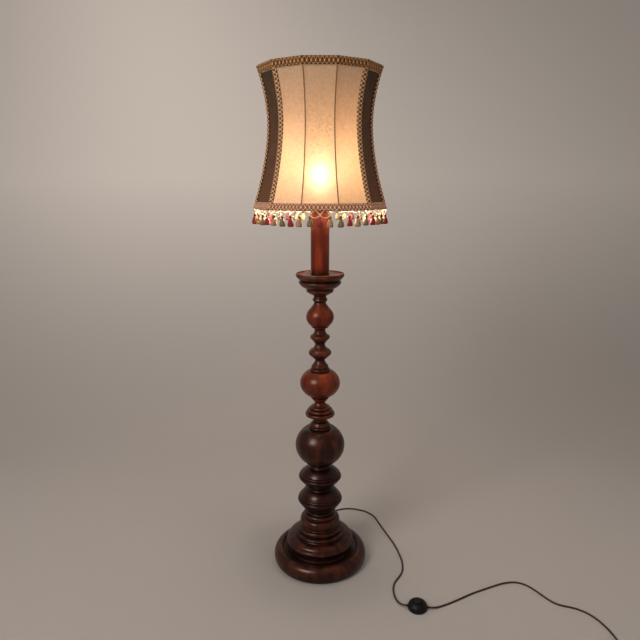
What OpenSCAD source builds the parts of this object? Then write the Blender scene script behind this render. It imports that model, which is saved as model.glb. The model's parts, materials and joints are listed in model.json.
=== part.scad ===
// Candlestick floor lamp.
// Turned wooden pieces are strung on a hollow threaded tube over a weighted base. A candle sleeve
// carries the lampholder, and a waisted twelve-sided shade hangs on it: parchment and fabric panels
// on a wire frame, edged with braid and a tassel fringe. The flex runs over the floor through a
// foot switch to a coil and its plug. The base stands on z = 0 and the column is the Z axis.

/* [Base] */
// Thickness of the felt under the base
felt_t = 2; // [1:0.5:4]
// Radius of the base at its widest
base_r = 166; // [150:1:182]
// How far the underside is tucked in from the widest radius
base_tuck = 10; // [4:1:20]
// Height of the crown of the base ring
base_crown_h = 52; // [50:1:60]
// How far the crown lies in from the widest radius
base_crown_in = 24; // [18:1:26]
// Height of the flat inside the crown, where the column stands
base_floor_h = 46; // [44:1:49]
// Radius of the fine bead round that flat
base_bead_r = 130; // [127:1:134]
// Radius of the cast ballast disc
ballast_r = 105; // [80:1:108]
// Thickness of the ballast disc
ballast_t = 14; // [8:1:16]
// Depth of the recess under the base
recess_h = 34; // [32:1:38]
// Gap between the ballast and the wall of the recess
ballast_gap = 3; // [1:0.5:5]

/* [Lower turnings] */
// Height of the stepped foot
foot_h = 72; // [60:1:86]
// Radius of the stepped foot
foot_r = 120.5; // [114:0.5:124]
// Height of the pedestal
pedestal_h = 74; // [60:1:90]
// Radius of the pedestal's main swelling
pedestal_r = 70.5; // [62:0.5:72]
// Radius of the neck on the pedestal
pedestal_neck_r = 45.5; // [36:0.5:50]
// Height of the lower disc
lower_disc_h = 90; // [75:1:105]
// Radius of the lower disc
lower_disc_r = 78.6; // [68:0.1:90]
// Radius of the neck on the lower disc
lower_disc_neck_r = 42; // [34:0.5:48]
// Height of the upper disc
upper_disc_h = 84; // [70:1:98]
// Radius of the upper disc
upper_disc_r = 75.2; // [66:0.1:86]
// Radius of the neck on the upper disc
upper_disc_neck_r = 35.5; // [30:0.5:40]

/* [Balls and collars] */
// Height of the big ball
big_ball_h = 139; // [120:1:160]
// Radius of the big ball
big_ball_r = 86; // [76:0.5:98]
// Height of the collar on the big ball
big_collar_h = 38; // [32:1:46]
// Radius of the collar on the big ball
big_collar_r = 37.5; // [32:0.5:42]
// Radius of the neck on that collar
big_collar_neck_r = 21.5; // [17:0.5:25]
// Height of the ringed disc
ringed_disc_h = 58; // [50:1:70]
// Radius of the ringed disc
ringed_disc_r = 51; // [44:0.5:60]
// Radius of the neck on the ringed disc
ringed_disc_neck_r = 17.8; // [15:0.1:21]
// Height of the middle ball with its cup
middle_ball_h = 113; // [98:1:130]
// Radius of the middle ball
middle_ball_r = 68.5; // [60:0.5:80]
// Height of the collar on the middle ball
middle_collar_h = 37; // [31:1:45]
// Radius of the collar on the middle ball
middle_collar_r = 33.5; // [29:0.5:37]
// Radius of the neck on that collar
middle_collar_neck_r = 16.6; // [14.5:0.1:20]

/* [Upper turnings] */
// Height of the lower spool
lower_spool_h = 56; // [46:1:68]
// Radius of the lower spool
lower_spool_r = 38.3; // [33:0.1:45]
// Radius of the neck on the lower spool
lower_spool_neck_r = 17.1; // [15:0.1:21]
// Height of the upper spool
upper_spool_h = 49; // [40:1:60]
// Radius of the upper spool
upper_spool_r = 33; // [28:0.5:40]
// Radius of the neck on the upper spool
upper_spool_neck_r = 18.7; // [15:0.1:22]
// Height of the upper ball
upper_ball_h = 95; // [82:1:110]
// Radius of the upper ball
upper_ball_r = 46.5; // [41:0.5:55]
// Radius of the neck on the upper ball
upper_ball_neck_r = 20; // [16:0.5:23]
// Height of the sharp ring below the cup
neck_ring_h = 21; // [16:1:28]
// Radius of the sharp ring below the cup
neck_ring_r = 25.3; // [23:0.1:32]
// Radius of the neck on that ring
neck_ring_neck_r = 20.8; // [16:0.1:23]
// Height of the stepped cup under the dish
cup_h = 53; // [45:1:64]
// Radius of the stepped cup
cup_r = 70.5; // [62:0.5:76]
// Radius of the cup's top, where the dish sits
cup_top_r = 66; // [56:0.5:68]
// Height of the drip dish
dish_h = 24; // [20:1:30]
// Radius of the drip dish
dish_r = 80.5; // [76:0.5:92]
// Depth of the hollow in the drip dish
dish_depth = 4.5; // [2:0.5:8]

/* [Candle sleeve and lampholder] */
// Height of the candle sleeve
candle_h = 203.5; // [160:0.5:240]
// Outer radius of the candle sleeve
candle_r = 30.4; // [27:0.1:34]
// Wall of the candle sleeve
candle_wall = 5; // [3:0.5:8]
// Thickness of the cap on the candle sleeve
sleeve_cap_t = 6; // [4:0.5:10]
// Outer radius of the hollow threaded lamp tube
tube_r = 5; // [4.5:0.1:5.4]
// Wall of the lamp tube
tube_wall = 1; // [0.8:0.1:1.4]
// Height of a nut on the lamp tube
nut_h = 6; // [4:0.5:8]
// Thickness of a washer on the lamp tube
washer_t = 1.5; // [1:0.5:3]
// Height of the lampholder's cap
holder_cap_h = 18; // [15:1:24]
// Outer radius of the lampholder
holder_r = 20; // [19.5:0.1:23]
// Height of the lampholder's shell
holder_shell_h = 36; // [32:1:44]
// Outer radius of the threaded sleeve that the shade's ring fits over
sleeve_r = 19.5; // [18.5:0.1:19.5]
// Radius of the bulb's glass
bulb_r = 30; // [24:0.5:34]
// Length of the bulb's glass
bulb_glass_h = 82; // [70:1:95]
// Radius of the bulb's screw cap
bulb_cap_r = 13.1; // [12.5:0.1:13.3]

/* [Shade] */
// Number of sides of the shade
side_count = 12; // [12]
// Height of the shade without its fringe
shade_h = 420; // [360:1:470]
// Radius of the shade's corners at the top
shade_top_r = 193; // [175:1:215]
// Radius of the shade's corners at the waist
shade_waist_r = 162; // [145:1:172]
// Radius of the shade's corners at the bottom
shade_bottom_r = 213; // [190:1:235]
// Height of the waist above the bottom edge
shade_waist_h = 255; // [215:1:290]
// How far the ring on the lampholder lies above the shade's bottom edge
fitter_rise = 26; // [15:1:40]
// Thickness of the parchment and fabric panels
panel_t = 1; // [0.6:0.1:1.6]
// Diameter of the wire in the shade's frame
wire_d = 4; // [3:0.2:5]
// Height of the braid round the top edge
top_braid_h = 22; // [14:1:28]
// Height of the braid round the bottom edge
bottom_braid_h = 19.5; // [14:0.5:28]
// Width of the braid on a rib
rib_braid_w = 20; // [12:1:26]
// Thickness of the braid
braid_t = 2; // [1:0.1:3]
// Width of the narrow tape on the plain ribs
seam_w = 4; // [2:0.5:8]
// Thickness of that tape
seam_t = 0.6; // [0.3:0.1:1]
// Number of tassels
tassel_count = 44; // [36:4:48]
// Length of a tassel
tassel_h = 32; // [24:1:40]
// Radius of a tassel at its skirt
tassel_r = 8.5; // [6:0.5:10]
// Depth of the net above the tassels
net_h = 14; // [8:1:22]

/* [Flex, foot switch and plug] */
// Diameter of the flex
flex_d = 6; // [5:0.5:6.5]
// Diameter of the flex inside the column
inner_flex_d = 5.2; // [4:0.2:6]
// Height of the flex's hole in the base
gland_z = 13; // [11:0.5:16]
// Length of the tapered strain relief behind the base
gland_h = 26; // [20:1:40]
// Radius of the foot switch
switch_r = 31; // [29:0.5:34]
// Height of the foot switch without its button
switch_h = 25; // [24:0.5:28]
// Radius of the push button
button_r = 14.4; // [11:0.1:16]
// How far the push button stands out
button_out = 3.8; // [3.6:0.1:5]
// Travel of the push button
button_travel = 3.5; // [2:0.1:3.6]
// Width of the plug
plug_w = 35; // [31:1:38]
// Thickness of the plug
plug_t = 13.6; // [12:0.2:16]
// Length of the plug's body
plug_h = 34; // [28:1:42]
// Radius of a plug pin
pin_r = 2; // [2:0.1:2.4]
// Length of a plug pin
pin_h = 19; // [17:0.5:22]
// Distance between the plug pins
pin_pitch = 19; // [17:0.5:21]

/* [Clearances] */
// Radial clearance of the lamp tube in its bores
tube_gap = 0.25; // [0.1:0.05:0.4]
// Radius of the spigots between the turnings
spigot_r = 10; // [8:0.5:12]
// Height of the spigots between the turnings
spigot_h = 6; // [4:0.5:8]
// Clearance of a spigot in its socket
spigot_gap = 0.2; // [0.1:0.05:0.4]
// Radial clearance between the lampholder and the shade's ring
fitter_gap = 0.5; // [0.3:0.1:0.8]
// Clearance round the push button
button_gap = 0.6; // [0.4:0.1:1]
// Gap between frame wires and the panels on them
wire_gap = 0.05; // [0.05:0.05:0.3]
// Gap between neighbouring panels
panel_gap = 0.2; // [0.1:0.1:0.6]
// Film of glue between the panels and the braid on them
glue_gap = 0.05; // [0.05:0.05:0.2]

/* [Hidden] */

wood = "#4a2418";
red_wood = "#6b2e1c";
black_plastic = "#1b1a19";
brass = "#b08a45";
steel = "#8f9092";
parchment = "#e7d2b0";
brown_cloth = "#4b3a28";
braid_colour = "#8a7048";
flex_brown = "#33231a";

// Steps in a quarter curve and in the arc of a ball
curve_n = 7;
ball_n = 20;

// Heights of the column's joints, from the floor up
z_base = felt_t;
z_foot = z_base + base_floor_h;
z_pedestal = z_foot + foot_h;
z_lower_disc = z_pedestal + pedestal_h;
z_upper_disc = z_lower_disc + lower_disc_h;
z_big_ball = z_upper_disc + upper_disc_h;
z_big_collar = z_big_ball + big_ball_h;
z_ringed_disc = z_big_collar + big_collar_h;
z_middle_ball = z_ringed_disc + ringed_disc_h;
z_middle_collar = z_middle_ball + middle_ball_h;
z_lower_spool = z_middle_collar + middle_collar_h;
z_upper_spool = z_lower_spool + lower_spool_h;
z_upper_ball = z_upper_spool + upper_spool_h;
z_neck_ring = z_upper_ball + upper_ball_h;
z_cup = z_neck_ring + neck_ring_h;
z_dish = z_cup + cup_h;
z_candle = z_dish + dish_h - dish_depth;
z_sleeve_cap = z_candle + candle_h;
z_top_washer = z_sleeve_cap + sleeve_cap_t;
z_holder = z_top_washer + washer_t + nut_h;
z_shell = z_holder + holder_cap_h;

bore_r = tube_r + tube_gap;
socket_r = spigot_r + spigot_gap;
socket_h = spigot_h + spigot_gap;

// Under the base: ballast, washer, nut and the end of the lamp tube
z_ballast = z_base + recess_h - ballast_t;
z_low_nut = z_ballast - washer_t - nut_h;
tube_end = 1.5;
z_tube_low = z_low_nut - tube_end;
recess_r = ballast_r + ballast_gap;
nut_r = 9.8;
washer_r = 15;
thread_gap = 0.1;

// Lampholder
holder_boss_r = 9;
holder_boss_h = 8;
holder_wall = 2.5;
flange_z = 2;
flange_t = 2;
flange_out = 4;
z_fitter = z_shell + flange_z + flange_t;
fitter_t = 2;
fitter_w = 9;
clamp_h = 8.5;
clamp_w = 6.5;
insert_h = 8.5;
contact_h = 1.5;
z_bulb = z_shell + insert_h + contact_h;
bulb_bore_gap = 1.1;
bulb_tip_r = 4;
bulb_tip_h = 3;
bulb_cap_h = 26;
glass_wall = 1;
z_tube_top = z_holder + holder_boss_h - 1;

// Shade
z_shade = z_fitter - fitter_rise;
half_angle = 180 / side_count;
waist_power_up = 1.9;
waist_power_down = 1.75;
wire_r = wire_d / 2;
flare_up = (shade_top_r - shade_waist_r) * waist_power_up / (shade_h - shade_waist_h);
flare_down = (shade_bottom_r - shade_waist_r) * waist_power_down / shade_waist_h;
lean = sqrt(1 + pow(max(flare_up, flare_down), 2));
wire_in = (panel_t + wire_r * lean + wire_gap) / cos(half_angle);
ring_inset = 4;
panel_steps = 12;
fabric_sides = [2, 6, 10];
spider_angles = [-90 + 45, -90 + 165, -90 + 285];
reach = 2 * shade_bottom_r;

// Turned profiles are lists of corners [radius, height, stroke, bow], each reached by a stroke
LINE = 0;   // straight
SWELL = 1;  // quarter curve that sets off level and arrives upright
ROLL = 2;   // quarter curve that sets off upright and arrives level
BOW = 3;    // shallow curve, bowed out by the fourth value times its chord

function swell(p, q) = [for (i = [1:curve_n]) let (a = 90 * i / curve_n)
    [p[0] + (q[0] - p[0]) * sin(a), p[1] + (q[1] - p[1]) * (1 - cos(a))]];

function roll(p, q) = [for (i = [1:curve_n]) let (a = 90 * i / curve_n)
    [p[0] + (q[0] - p[0]) * (1 - cos(a)), p[1] + (q[1] - p[1]) * sin(a)]];

function bow(p, q, b) = [for (i = [1:curve_n]) let (t = i / curve_n, k = 4 * b * t * (1 - t))
    [p[0] + (q[0] - p[0]) * t + (q[1] - p[1]) * k, p[1] + (q[1] - p[1]) * t - (q[0] - p[0]) * k]];

function stroke(p, q) =
    q[2] == SWELL ? swell(p, q) :
    q[2] == ROLL ? roll(p, q) :
    q[2] == BOW ? bow(p, q, q[3]) : [[q[0], q[1]]];

function outline(corners) = [for (i = [0:len(corners) - 1])
    each i == 0 ? [[corners[0][0], corners[0][1]]] : stroke(corners[i - 1], corners[i])];

// Arc of a ball of radius a and half height b round height zc, from height z0 to z1
function ball_arc(a, b, zc, z0, z1) =
    let (from = asin((z0 - zc) / b), to = asin((z1 - zc) / b))
    [for (i = [0:ball_n]) let (t = from + (to - from) * i / ball_n) [a * cos(t), zc + b * sin(t)]];

// A turning of height h, bored for the lamp tube, with a socket below and a spigot above
module turning(z, h, points, socket = true, spigot = true) {
    foot = socket ? [[bore_r, socket_h], [socket_r, socket_h], [socket_r, 0]] : [[bore_r, 0]];
    head = spigot ? [[spigot_r, h], [spigot_r, h + spigot_h], [bore_r, h + spigot_h]] : [[bore_r, h]];
    translate([0, 0, z])
        rotate_extrude($fn = 128)
            polygon(concat(foot, points, head));
}

module ring(z, inner, outer, h) {
    translate([0, 0, z])
        difference() {
            cylinder(r = outer, h = h, $fn = 64);
            translate([0, 0, -1])
                cylinder(r = inner, h = h + 2, $fn = 64);
        }
}

// ---- base and column ----

module base_felt() {
    color("#2c3a2a")
        ring(0, tube_r + 3, base_r - base_tuck - 1, felt_t);
}

module ballast_disc() {
    color(steel)
        ring(z_ballast, bore_r, ballast_r, ballast_t);
}

module base_ring() {
    h = base_floor_h;
    crown = base_r - base_crown_in;
    profile = outline([
        [recess_r, 0],
        [base_r - base_tuck, 0, LINE],
        [base_r, 0.42 * base_crown_h, SWELL],
        [crown, base_crown_h, ROLL],
        [base_bead_r + 4, h + 1, SWELL],
        [base_bead_r + 3, h, LINE],
        [base_bead_r, h + 1.6, BOW, 0.3],
        [base_bead_r - 2.5, h, BOW, 0.3],
    ]);
    color(wood)
        difference() {
            translate([0, 0, z_base])
                rotate_extrude($fn = 160)
                    polygon(concat([[bore_r, recess_h], [recess_r, recess_h]], profile,
                        [[spigot_r, h], [spigot_r, h + spigot_h], [bore_r, h + spigot_h]]));
            translate([0, 0, gland_z])
                rotate([-90, 0, 0])
                    cylinder(r = flex_d / 2 + 2.5, h = base_r + 10, $fn = 32);
        }
}

module base_foot() {
    r = foot_r;
    h = foot_h;
    color(wood)
        turning(z_foot, h, outline([
            [0.93 * r, 0], [0.91 * r, 0.04 * h, LINE], [0.905 * r, 0.28 * h, BOW, -0.06],
            [0.955 * r, 0.35 * h, LINE], [r, 0.43 * h, SWELL], [0.965 * r, 0.53 * h, ROLL],
            [0.96 * r, 0.545 * h, LINE], [0.77 * r, 0.775 * h, ROLL], [0.73 * r, 0.79 * h, LINE],
            [0.715 * r, 0.82 * h, LINE], [0.747 * r, 0.91 * h, SWELL], [0.7 * r, 0.985 * h, ROLL],
            [0.68 * r, h, LINE],
        ]));
}

module pedestal() {
    r = pedestal_r;
    h = pedestal_h;
    color(wood)
        turning(z_pedestal, h, outline([
            [1.04 * r, 0], [1.113 * r, 0.1 * h, SWELL], [1.04 * r, 0.22 * h, ROLL],
            [0.96 * r, 0.24 * h, LINE], [0.94 * r, 0.32 * h, LINE], [r, 0.48 * h, SWELL],
            [0.86 * r, 0.7 * h, ROLL], [0.8 * r, 0.725 * h, LINE], [0.83 * r, 0.8 * h, SWELL],
            [pedestal_neck_r + 2, 0.93 * h, ROLL], [pedestal_neck_r, h, LINE],
        ]));
}

module lower_disc() {
    r = lower_disc_r;
    h = lower_disc_h;
    color(wood)
        turning(z_lower_disc, h, outline([
            [pedestal_neck_r, 0], [pedestal_neck_r, 0.03 * h, LINE], [0.985 * r, 0.45 * h, BOW, 0.04],
            [r, 0.5 * h, BOW, 0.1], [0.975 * r, 0.56 * h, BOW, 0.15], [0.93 * r, 0.575 * h, LINE],
            [0.95 * r, 0.61 * h, SWELL], [0.905 * r, 0.66 * h, ROLL], [0.875 * r, 0.67 * h, LINE],
            [lower_disc_neck_r + 1, 0.97 * h, BOW, 0.1], [lower_disc_neck_r, h, LINE],
        ]));
}

module upper_disc() {
    r = upper_disc_r;
    h = upper_disc_h;
    color(wood)
        turning(z_upper_disc, h, outline([
            [lower_disc_neck_r, 0], [lower_disc_neck_r, 0.04 * h, LINE], [0.985 * r, 0.45 * h, BOW, 0.02],
            [r, 0.49 * h, BOW, 0.1], [0.975 * r, 0.555 * h, BOW, 0.15], [0.92 * r, 0.57 * h, LINE],
            [0.945 * r, 0.605 * h, SWELL], [0.885 * r, 0.66 * h, ROLL], [0.85 * r, 0.67 * h, LINE],
            [upper_disc_neck_r + 2, 0.94 * h, BOW, 0.08], [upper_disc_neck_r, h, LINE],
        ]));
}

module big_ball() {
    h = big_ball_h;
    color(red_wood)
        turning(z_big_ball, h, concat(
            outline([
                [upper_disc_neck_r, 0], [upper_disc_neck_r + 3, 0.022 * h, SWELL],
                [upper_disc_neck_r, 0.043 * h, ROLL],
            ]),
            ball_arc(big_ball_r, 0.554 * h, 0.558 * h, 0.045 * h, h)));
}

module big_ball_collar() {
    r = big_collar_r;
    h = big_collar_h;
    color(red_wood)
        turning(z_big_collar, h, outline([
            [0.93 * r, 0], [r, 0.11 * h, SWELL], [0.93 * r, 0.22 * h, ROLL], [0.86 * r, 0.24 * h, LINE],
            [0.95 * r, 0.33 * h, SWELL], [0.87 * r, 0.42 * h, ROLL],
            [big_collar_neck_r + 0.5, 0.74 * h, BOW, 0.1], [big_collar_neck_r, 0.78 * h, LINE],
            [big_collar_neck_r, h, LINE],
        ]));
}

module ringed_disc() {
    r = ringed_disc_r;
    h = ringed_disc_h;
    n = ringed_disc_neck_r;
    color(red_wood)
        turning(z_ringed_disc, h, outline([
            [big_collar_neck_r, 0], [big_collar_neck_r, 0.05 * h, LINE], [0.93 * r, 0.17 * h, BOW, -0.08],
            [r, 0.25 * h, SWELL], [0.94 * r, 0.375 * h, ROLL], [0.81 * r, 0.39 * h, LINE],
            [0.865 * r, 0.48 * h, SWELL], [0.76 * r, 0.58 * h, ROLL], [0.66 * r, 0.595 * h, LINE],
            [0.69 * r, 0.65 * h, SWELL], [0.58 * r, 0.75 * h, ROLL], [0.53 * r, 0.765 * h, LINE],
            [n, 0.965 * h, BOW, -0.08], [n, h, LINE],
        ]));
}

module middle_ball() {
    h = middle_ball_h;
    n = ringed_disc_neck_r;
    color(red_wood)
        turning(z_middle_ball, h, concat(
            outline([
                [n, 0], [n, 0.018 * h, LINE], [0.455 * middle_ball_r, 0.15 * h, BOW, 0.06],
                [0.46 * middle_ball_r, 0.165 * h, LINE], [0.43 * middle_ball_r, 0.172 * h, LINE],
            ]),
            ball_arc(middle_ball_r, 0.478 * h, 0.617 * h, 0.177 * h, h)));
}

module middle_ball_collar() {
    r = middle_collar_r;
    h = middle_collar_h;
    n = middle_collar_neck_r;
    color(red_wood)
        turning(z_middle_collar, h, outline([
            [0.93 * r, 0], [r, 0.11 * h, SWELL], [0.93 * r, 0.23 * h, ROLL], [0.81 * r, 0.26 * h, LINE],
            [0.86 * r, 0.4 * h, SWELL], [0.8 * r, 0.55 * h, ROLL], [0.76 * r, 0.575 * h, LINE],
            [n + 0.5, 0.93 * h, BOW, -0.03], [n, h, LINE],
        ]));
}

module lower_spool() {
    r = lower_spool_r;
    h = lower_spool_h;
    n = lower_spool_neck_r;
    color(wood)
        turning(z_lower_spool, h, outline([
            [middle_collar_neck_r, 0], [middle_collar_neck_r, 0.05 * h, LINE],
            [0.96 * r, 0.38 * h, BOW, 0.01], [r, 0.49 * h, BOW, 0.12], [0.95 * r, 0.6 * h, BOW, 0.12],
            [0.89 * r, 0.625 * h, LINE],
            [0.79 * r, 0.705 * h, BOW, 0.15], [n + 0.4, 0.93 * h, BOW, -0.1], [n, h, LINE],
        ]));
}

module upper_spool() {
    r = upper_spool_r;
    h = upper_spool_h;
    n = upper_spool_neck_r;
    color(wood)
        turning(z_upper_spool, h, outline([
            [lower_spool_neck_r, 0], [lower_spool_neck_r, 0.06 * h, LINE], [0.95 * r, 0.42 * h, BOW, -0.02],
            [r, 0.52 * h, BOW, 0.12], [0.96 * r, 0.63 * h, BOW, 0.12], [0.87 * r, 0.67 * h, LINE],
            [n + 0.6, 0.89 * h, BOW, -0.1], [n, h, LINE],
        ]));
}

module upper_ball() {
    r = upper_ball_r;
    h = upper_ball_h;
    b = 0.421 * h;
    zc = 0.482 * h;
    z_onion = 0.75 * h;
    arc = ball_arc(r, b, zc, 0.175 * h, z_onion);
    color(red_wood)
        turning(z_upper_ball, h, concat(
            outline([
                [upper_spool_neck_r, 0], [upper_spool_neck_r, 0.03 * h, LINE],
                [0.6 * r, 0.11 * h, BOW, -0.08], [0.625 * r, 0.12 * h, LINE],
                [0.625 * r, 0.148 * h, LINE], [0.59 * r, 0.158 * h, LINE],
            ]),
            arc,
            outline([arc[ball_n], [upper_ball_neck_r, 0.98 * h, BOW, -0.03], [upper_ball_neck_r, h, LINE]])));
}

module neck_ring() {
    r = neck_ring_r;
    h = neck_ring_h;
    color(red_wood)
        turning(z_neck_ring, h, outline([
            [upper_ball_neck_r, 0], [upper_ball_neck_r, 0.1 * h, LINE], [r, 0.4 * h, BOW, 0.06],
            [neck_ring_neck_r + 0.2, 0.78 * h, BOW, 0.06], [neck_ring_neck_r, h, LINE],
        ]));
}

module bobeche_cup() {
    r = cup_r;
    h = cup_h;
    n = neck_ring_neck_r;
    color(wood)
        turning(z_cup, h, outline([
            [n, 0], [n, 0.03 * h, LINE], [0.61 * r, 0.27 * h, BOW, 0.02], [0.645 * r, 0.38 * h, BOW, 0.12],
            [0.645 * r, 0.45 * h, LINE], [0.62 * r, 0.48 * h, LINE], [0.64 * r, 0.5 * h, LINE],
            [0.965 * r, 0.79 * h, BOW, 0.1], [r, 0.865 * h, BOW, 0.1], [0.96 * r, 0.965 * h, ROLL],
            [cup_top_r, h, LINE],
        ]));
}

module bobeche_dish() {
    r = dish_r;
    h = dish_h;
    floor_h = h - dish_depth;
    color(wood)
        turning(z_dish, floor_h, outline([
            [cup_top_r, 0], [cup_top_r + 1, 0.08 * h, LINE], [0.975 * r, 0.54 * h, BOW, 0.05],
            [r, 0.7 * h, BOW, 0.1], [0.99 * r, 0.8 * h, BOW, 0.1], [0.972 * r, 0.82 * h, LINE],
            [0.985 * r, 0.9 * h, SWELL], [0.965 * r, h, ROLL], [0.945 * r, h, LINE],
            [0.9 * r, floor_h, BOW, -0.12],
        ]), spigot = false);
}

module candle_sleeve() {
    inner = candle_r - candle_wall;
    color(red_wood)
        translate([0, 0, z_candle])
            rotate_extrude($fn = 96)
                polygon([
                    [inner, 0], [candle_r - 0.5, 0], [candle_r, 0.5], [candle_r, candle_h], [inner, candle_h],
                ]);
}

module sleeve_cap() {
    plug_r = candle_r - candle_wall - spigot_gap;
    plug_depth = 8;
    color(wood)
        translate([0, 0, z_sleeve_cap])
            rotate_extrude($fn = 96)
                polygon(concat(
                    [[bore_r, -plug_depth], [plug_r, -plug_depth], [plug_r, 0], [candle_r, 0]],
                    outline([[candle_r, 0.3 * sleeve_cap_t], [candle_r - 3, sleeve_cap_t, ROLL]]),
                    [[bore_r, sleeve_cap_t]]));
}

module lamp_tube() {
    color(steel)
        ring(z_tube_low, tube_r - tube_wall, tube_r, z_tube_top - z_tube_low);
}

module hex_nut(z) {
    translate([0, 0, z])
        difference() {
            cylinder(r = nut_r, h = nut_h, $fn = 6);
            translate([0, 0, -1])
                cylinder(r = tube_r + thread_gap, h = nut_h + 2, $fn = 48);
        }
}

module tube_nuts() {
    color(steel) {
        hex_nut(z_low_nut);
        hex_nut(z_top_washer + washer_t);
    }
}

module tube_washers() {
    color(steel) {
        ring(z_ballast - washer_t, bore_r, washer_r, washer_t);
        ring(z_top_washer, bore_r, washer_r, washer_t);
    }
}

// ---- lampholder and bulb ----

module holder_cap() {
    r = holder_r;
    h = holder_cap_h;
    wall = holder_wall;
    color(black_plastic)
        translate([0, 0, z_holder])
            rotate_extrude($fn = 64)
                polygon(concat(
                    [[tube_r + thread_gap, 0]],
                    outline([
                        [holder_boss_r, 0], [holder_boss_r, 0.15 * h, LINE],
                        [r, 0.65 * h, BOW, 0.1], [r, h, LINE],
                    ]),
                    [[r - wall, h], [r - wall, 0.7 * h], [holder_boss_r - 1, holder_boss_h],
                        [tube_r + thread_gap, holder_boss_h]]));
}

module holder_insert() {
    r = holder_r - holder_wall - spigot_gap;
    color("#e4e0d6")
        translate([0, 0, z_shell]) {
            cylinder(r = r, h = insert_h, $fn = 64);
            cylinder(r = bulb_tip_r - 1, h = insert_h + contact_h, $fn = 32);
        }
}

module holder_shell() {
    inner = bulb_cap_r + bulb_bore_gap;
    color(black_plastic)
        translate([0, 0, z_shell])
            rotate_extrude($fn = 64)
                polygon([
                    [holder_r - holder_wall, 0], [holder_r, 0], [holder_r, flange_z],
                    [holder_r + flange_out, flange_z], [holder_r + flange_out, flange_z + flange_t],
                    [sleeve_r, flange_z + flange_t], [sleeve_r, holder_shell_h], [inner, holder_shell_h],
                    [inner, insert_h + 0.5], [holder_r - holder_wall, insert_h + 0.5],
                ]);
}

module shade_clamp_ring() {
    grip_count = 24;
    outer = sleeve_r + clamp_w;
    color(black_plastic)
        difference() {
            ring(z_fitter + fitter_t, sleeve_r + thread_gap, outer, clamp_h);
            for (i = [0:grip_count - 1])
                rotate([0, 0, i * 360 / grip_count])
                    translate([outer + 0.4, 0, z_fitter])
                        cylinder(r = 1.2, h = clamp_h + fitter_t + 1, $fn = 16);
        }
}

// Outline of the bulb, drawn in by w all round
function bulb_points(w) = let (r = bulb_r - w, n = bulb_cap_r + 0.2 - w, zc = bulb_glass_h - bulb_r)
    concat(
        outline([[n, 0], [n, 0.08 * bulb_glass_h, LINE], [r * cos(20), zc - r * sin(20), BOW, -0.05]]),
        [for (i = [1:12]) let (a = -20 + 110 * i / 12) [max(r * cos(a), 0), zc + r * sin(a)]]);

module bulb_glass() {
    inside = bulb_points(glass_wall);
    color("#fff4dc")
        translate([0, 0, z_bulb + bulb_cap_h])
            rotate_extrude($fn = 64)
                polygon(concat(bulb_points(0), [for (i = [len(inside) - 1:-1:0]) inside[i]]));
}

module bulb_cap() {
    r = bulb_cap_r;
    color(brass)
        translate([0, 0, z_bulb])
            rotate_extrude($fn = 64)
                polygon([
                    [0, 0], [bulb_tip_r, 0], [bulb_tip_r + 1, 1], [r - 3, bulb_tip_h], [r, bulb_tip_h + 3],
                    [r, bulb_cap_h], [0, bulb_cap_h],
                ]);
}

// ---- shade ----

// Radius of the shade's corners at height z above its bottom edge
function shade_r(z) = shade_waist_r + (z < shade_waist_h
    ? (shade_bottom_r - shade_waist_r) * pow((shade_waist_h - z) / shade_waist_h, waist_power_down)
    : (shade_top_r - shade_waist_r) * pow((z - shade_waist_h) / (shade_h - shade_waist_h), waist_power_up));

function side_angle(i) = -90 + i * 360 / side_count;

// The panels bend at steps of equal height, and what lies on them bends at the same steps
panel_step = shade_h / panel_steps;

function edge(z) = let (z0 = panel_step * min(floor(z / panel_step), panel_steps - 1))
    shade_r(z0) + (shade_r(z0 + panel_step) - shade_r(z0)) * (z - z0) / panel_step;

// Edge of one side's sheet between heights z0 and z1, off outside the panel's face
function side_edge(off, z0, z1) =
    let (bends = [for (i = [1:panel_steps - 1]) i * panel_step])
    [for (z = concat([z0], [for (z = bends) if (z > z0 && z < z1) z], [z1]))
        [edge(z) * cos(half_angle) + off, z]];

// Sheet of thickness t whose outside lies off outside the panel's face, on one side
module side_sheet(off, t, z0, z1) {
    outer = side_edge(off, z0, z1);
    inner = [for (i = [len(outer) - 1:-1:0]) [outer[i][0] - t, outer[i][1]]];
    rotate([90, 0, 0])
        linear_extrude(height = 2 * reach * tan(half_angle), center = true)
            polygon(concat(outer, inner));
}

// The part of a side between its two ribs, kept gap clear of them
module between_ribs(gap) {
    side = reach * tan(half_angle);
    translate([gap / sin(half_angle), 0, -1])
        linear_extrude(height = shade_h + 2)
            polygon([[0, 0], [reach, -side], [reach, side]]);
}

module panel(side) {
    translate([0, 0, z_shade])
        rotate([0, 0, side_angle(side)])
            intersection() {
                side_sheet(0, panel_t, 0, shade_h);
                between_ribs(panel_gap / 2);
            }
}

// Hoop that joins one cross-section at each corner of the shade to the next, as one polyhedron
module hoop(sections) {
    m = len(sections[0]);
    count = side_count * m;
    points = [for (section = sections) each section];
    faces = [for (i = [0:side_count - 1], k = [0:m - 1])
        let (a = i * m + k, b = i * m + (k + 1) % m, c = (b + m) % count, d = (a + m) % count)
        each [[a, b, c], [a, c, d]]];
    polyhedron(points = points, faces = faces);
}

// Band round the shade between heights z0 and z1, from off to off + t outside the panels' faces
module band(off, t, z0, z1) {
    near = off / cos(half_angle);
    far = (off + t) / cos(half_angle);
    low = edge(max(z0, 0));
    high = edge(z1);
    hoop([for (i = [0:side_count - 1])
        let (a = side_angle(i) + half_angle, u = [cos(a), sin(a), 0])
        [(low + near) * u + [0, 0, z0], (low + far) * u + [0, 0, z0],
            (high + far) * u + [0, 0, z1], (high + near) * u + [0, 0, z1]]]);
}

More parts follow.
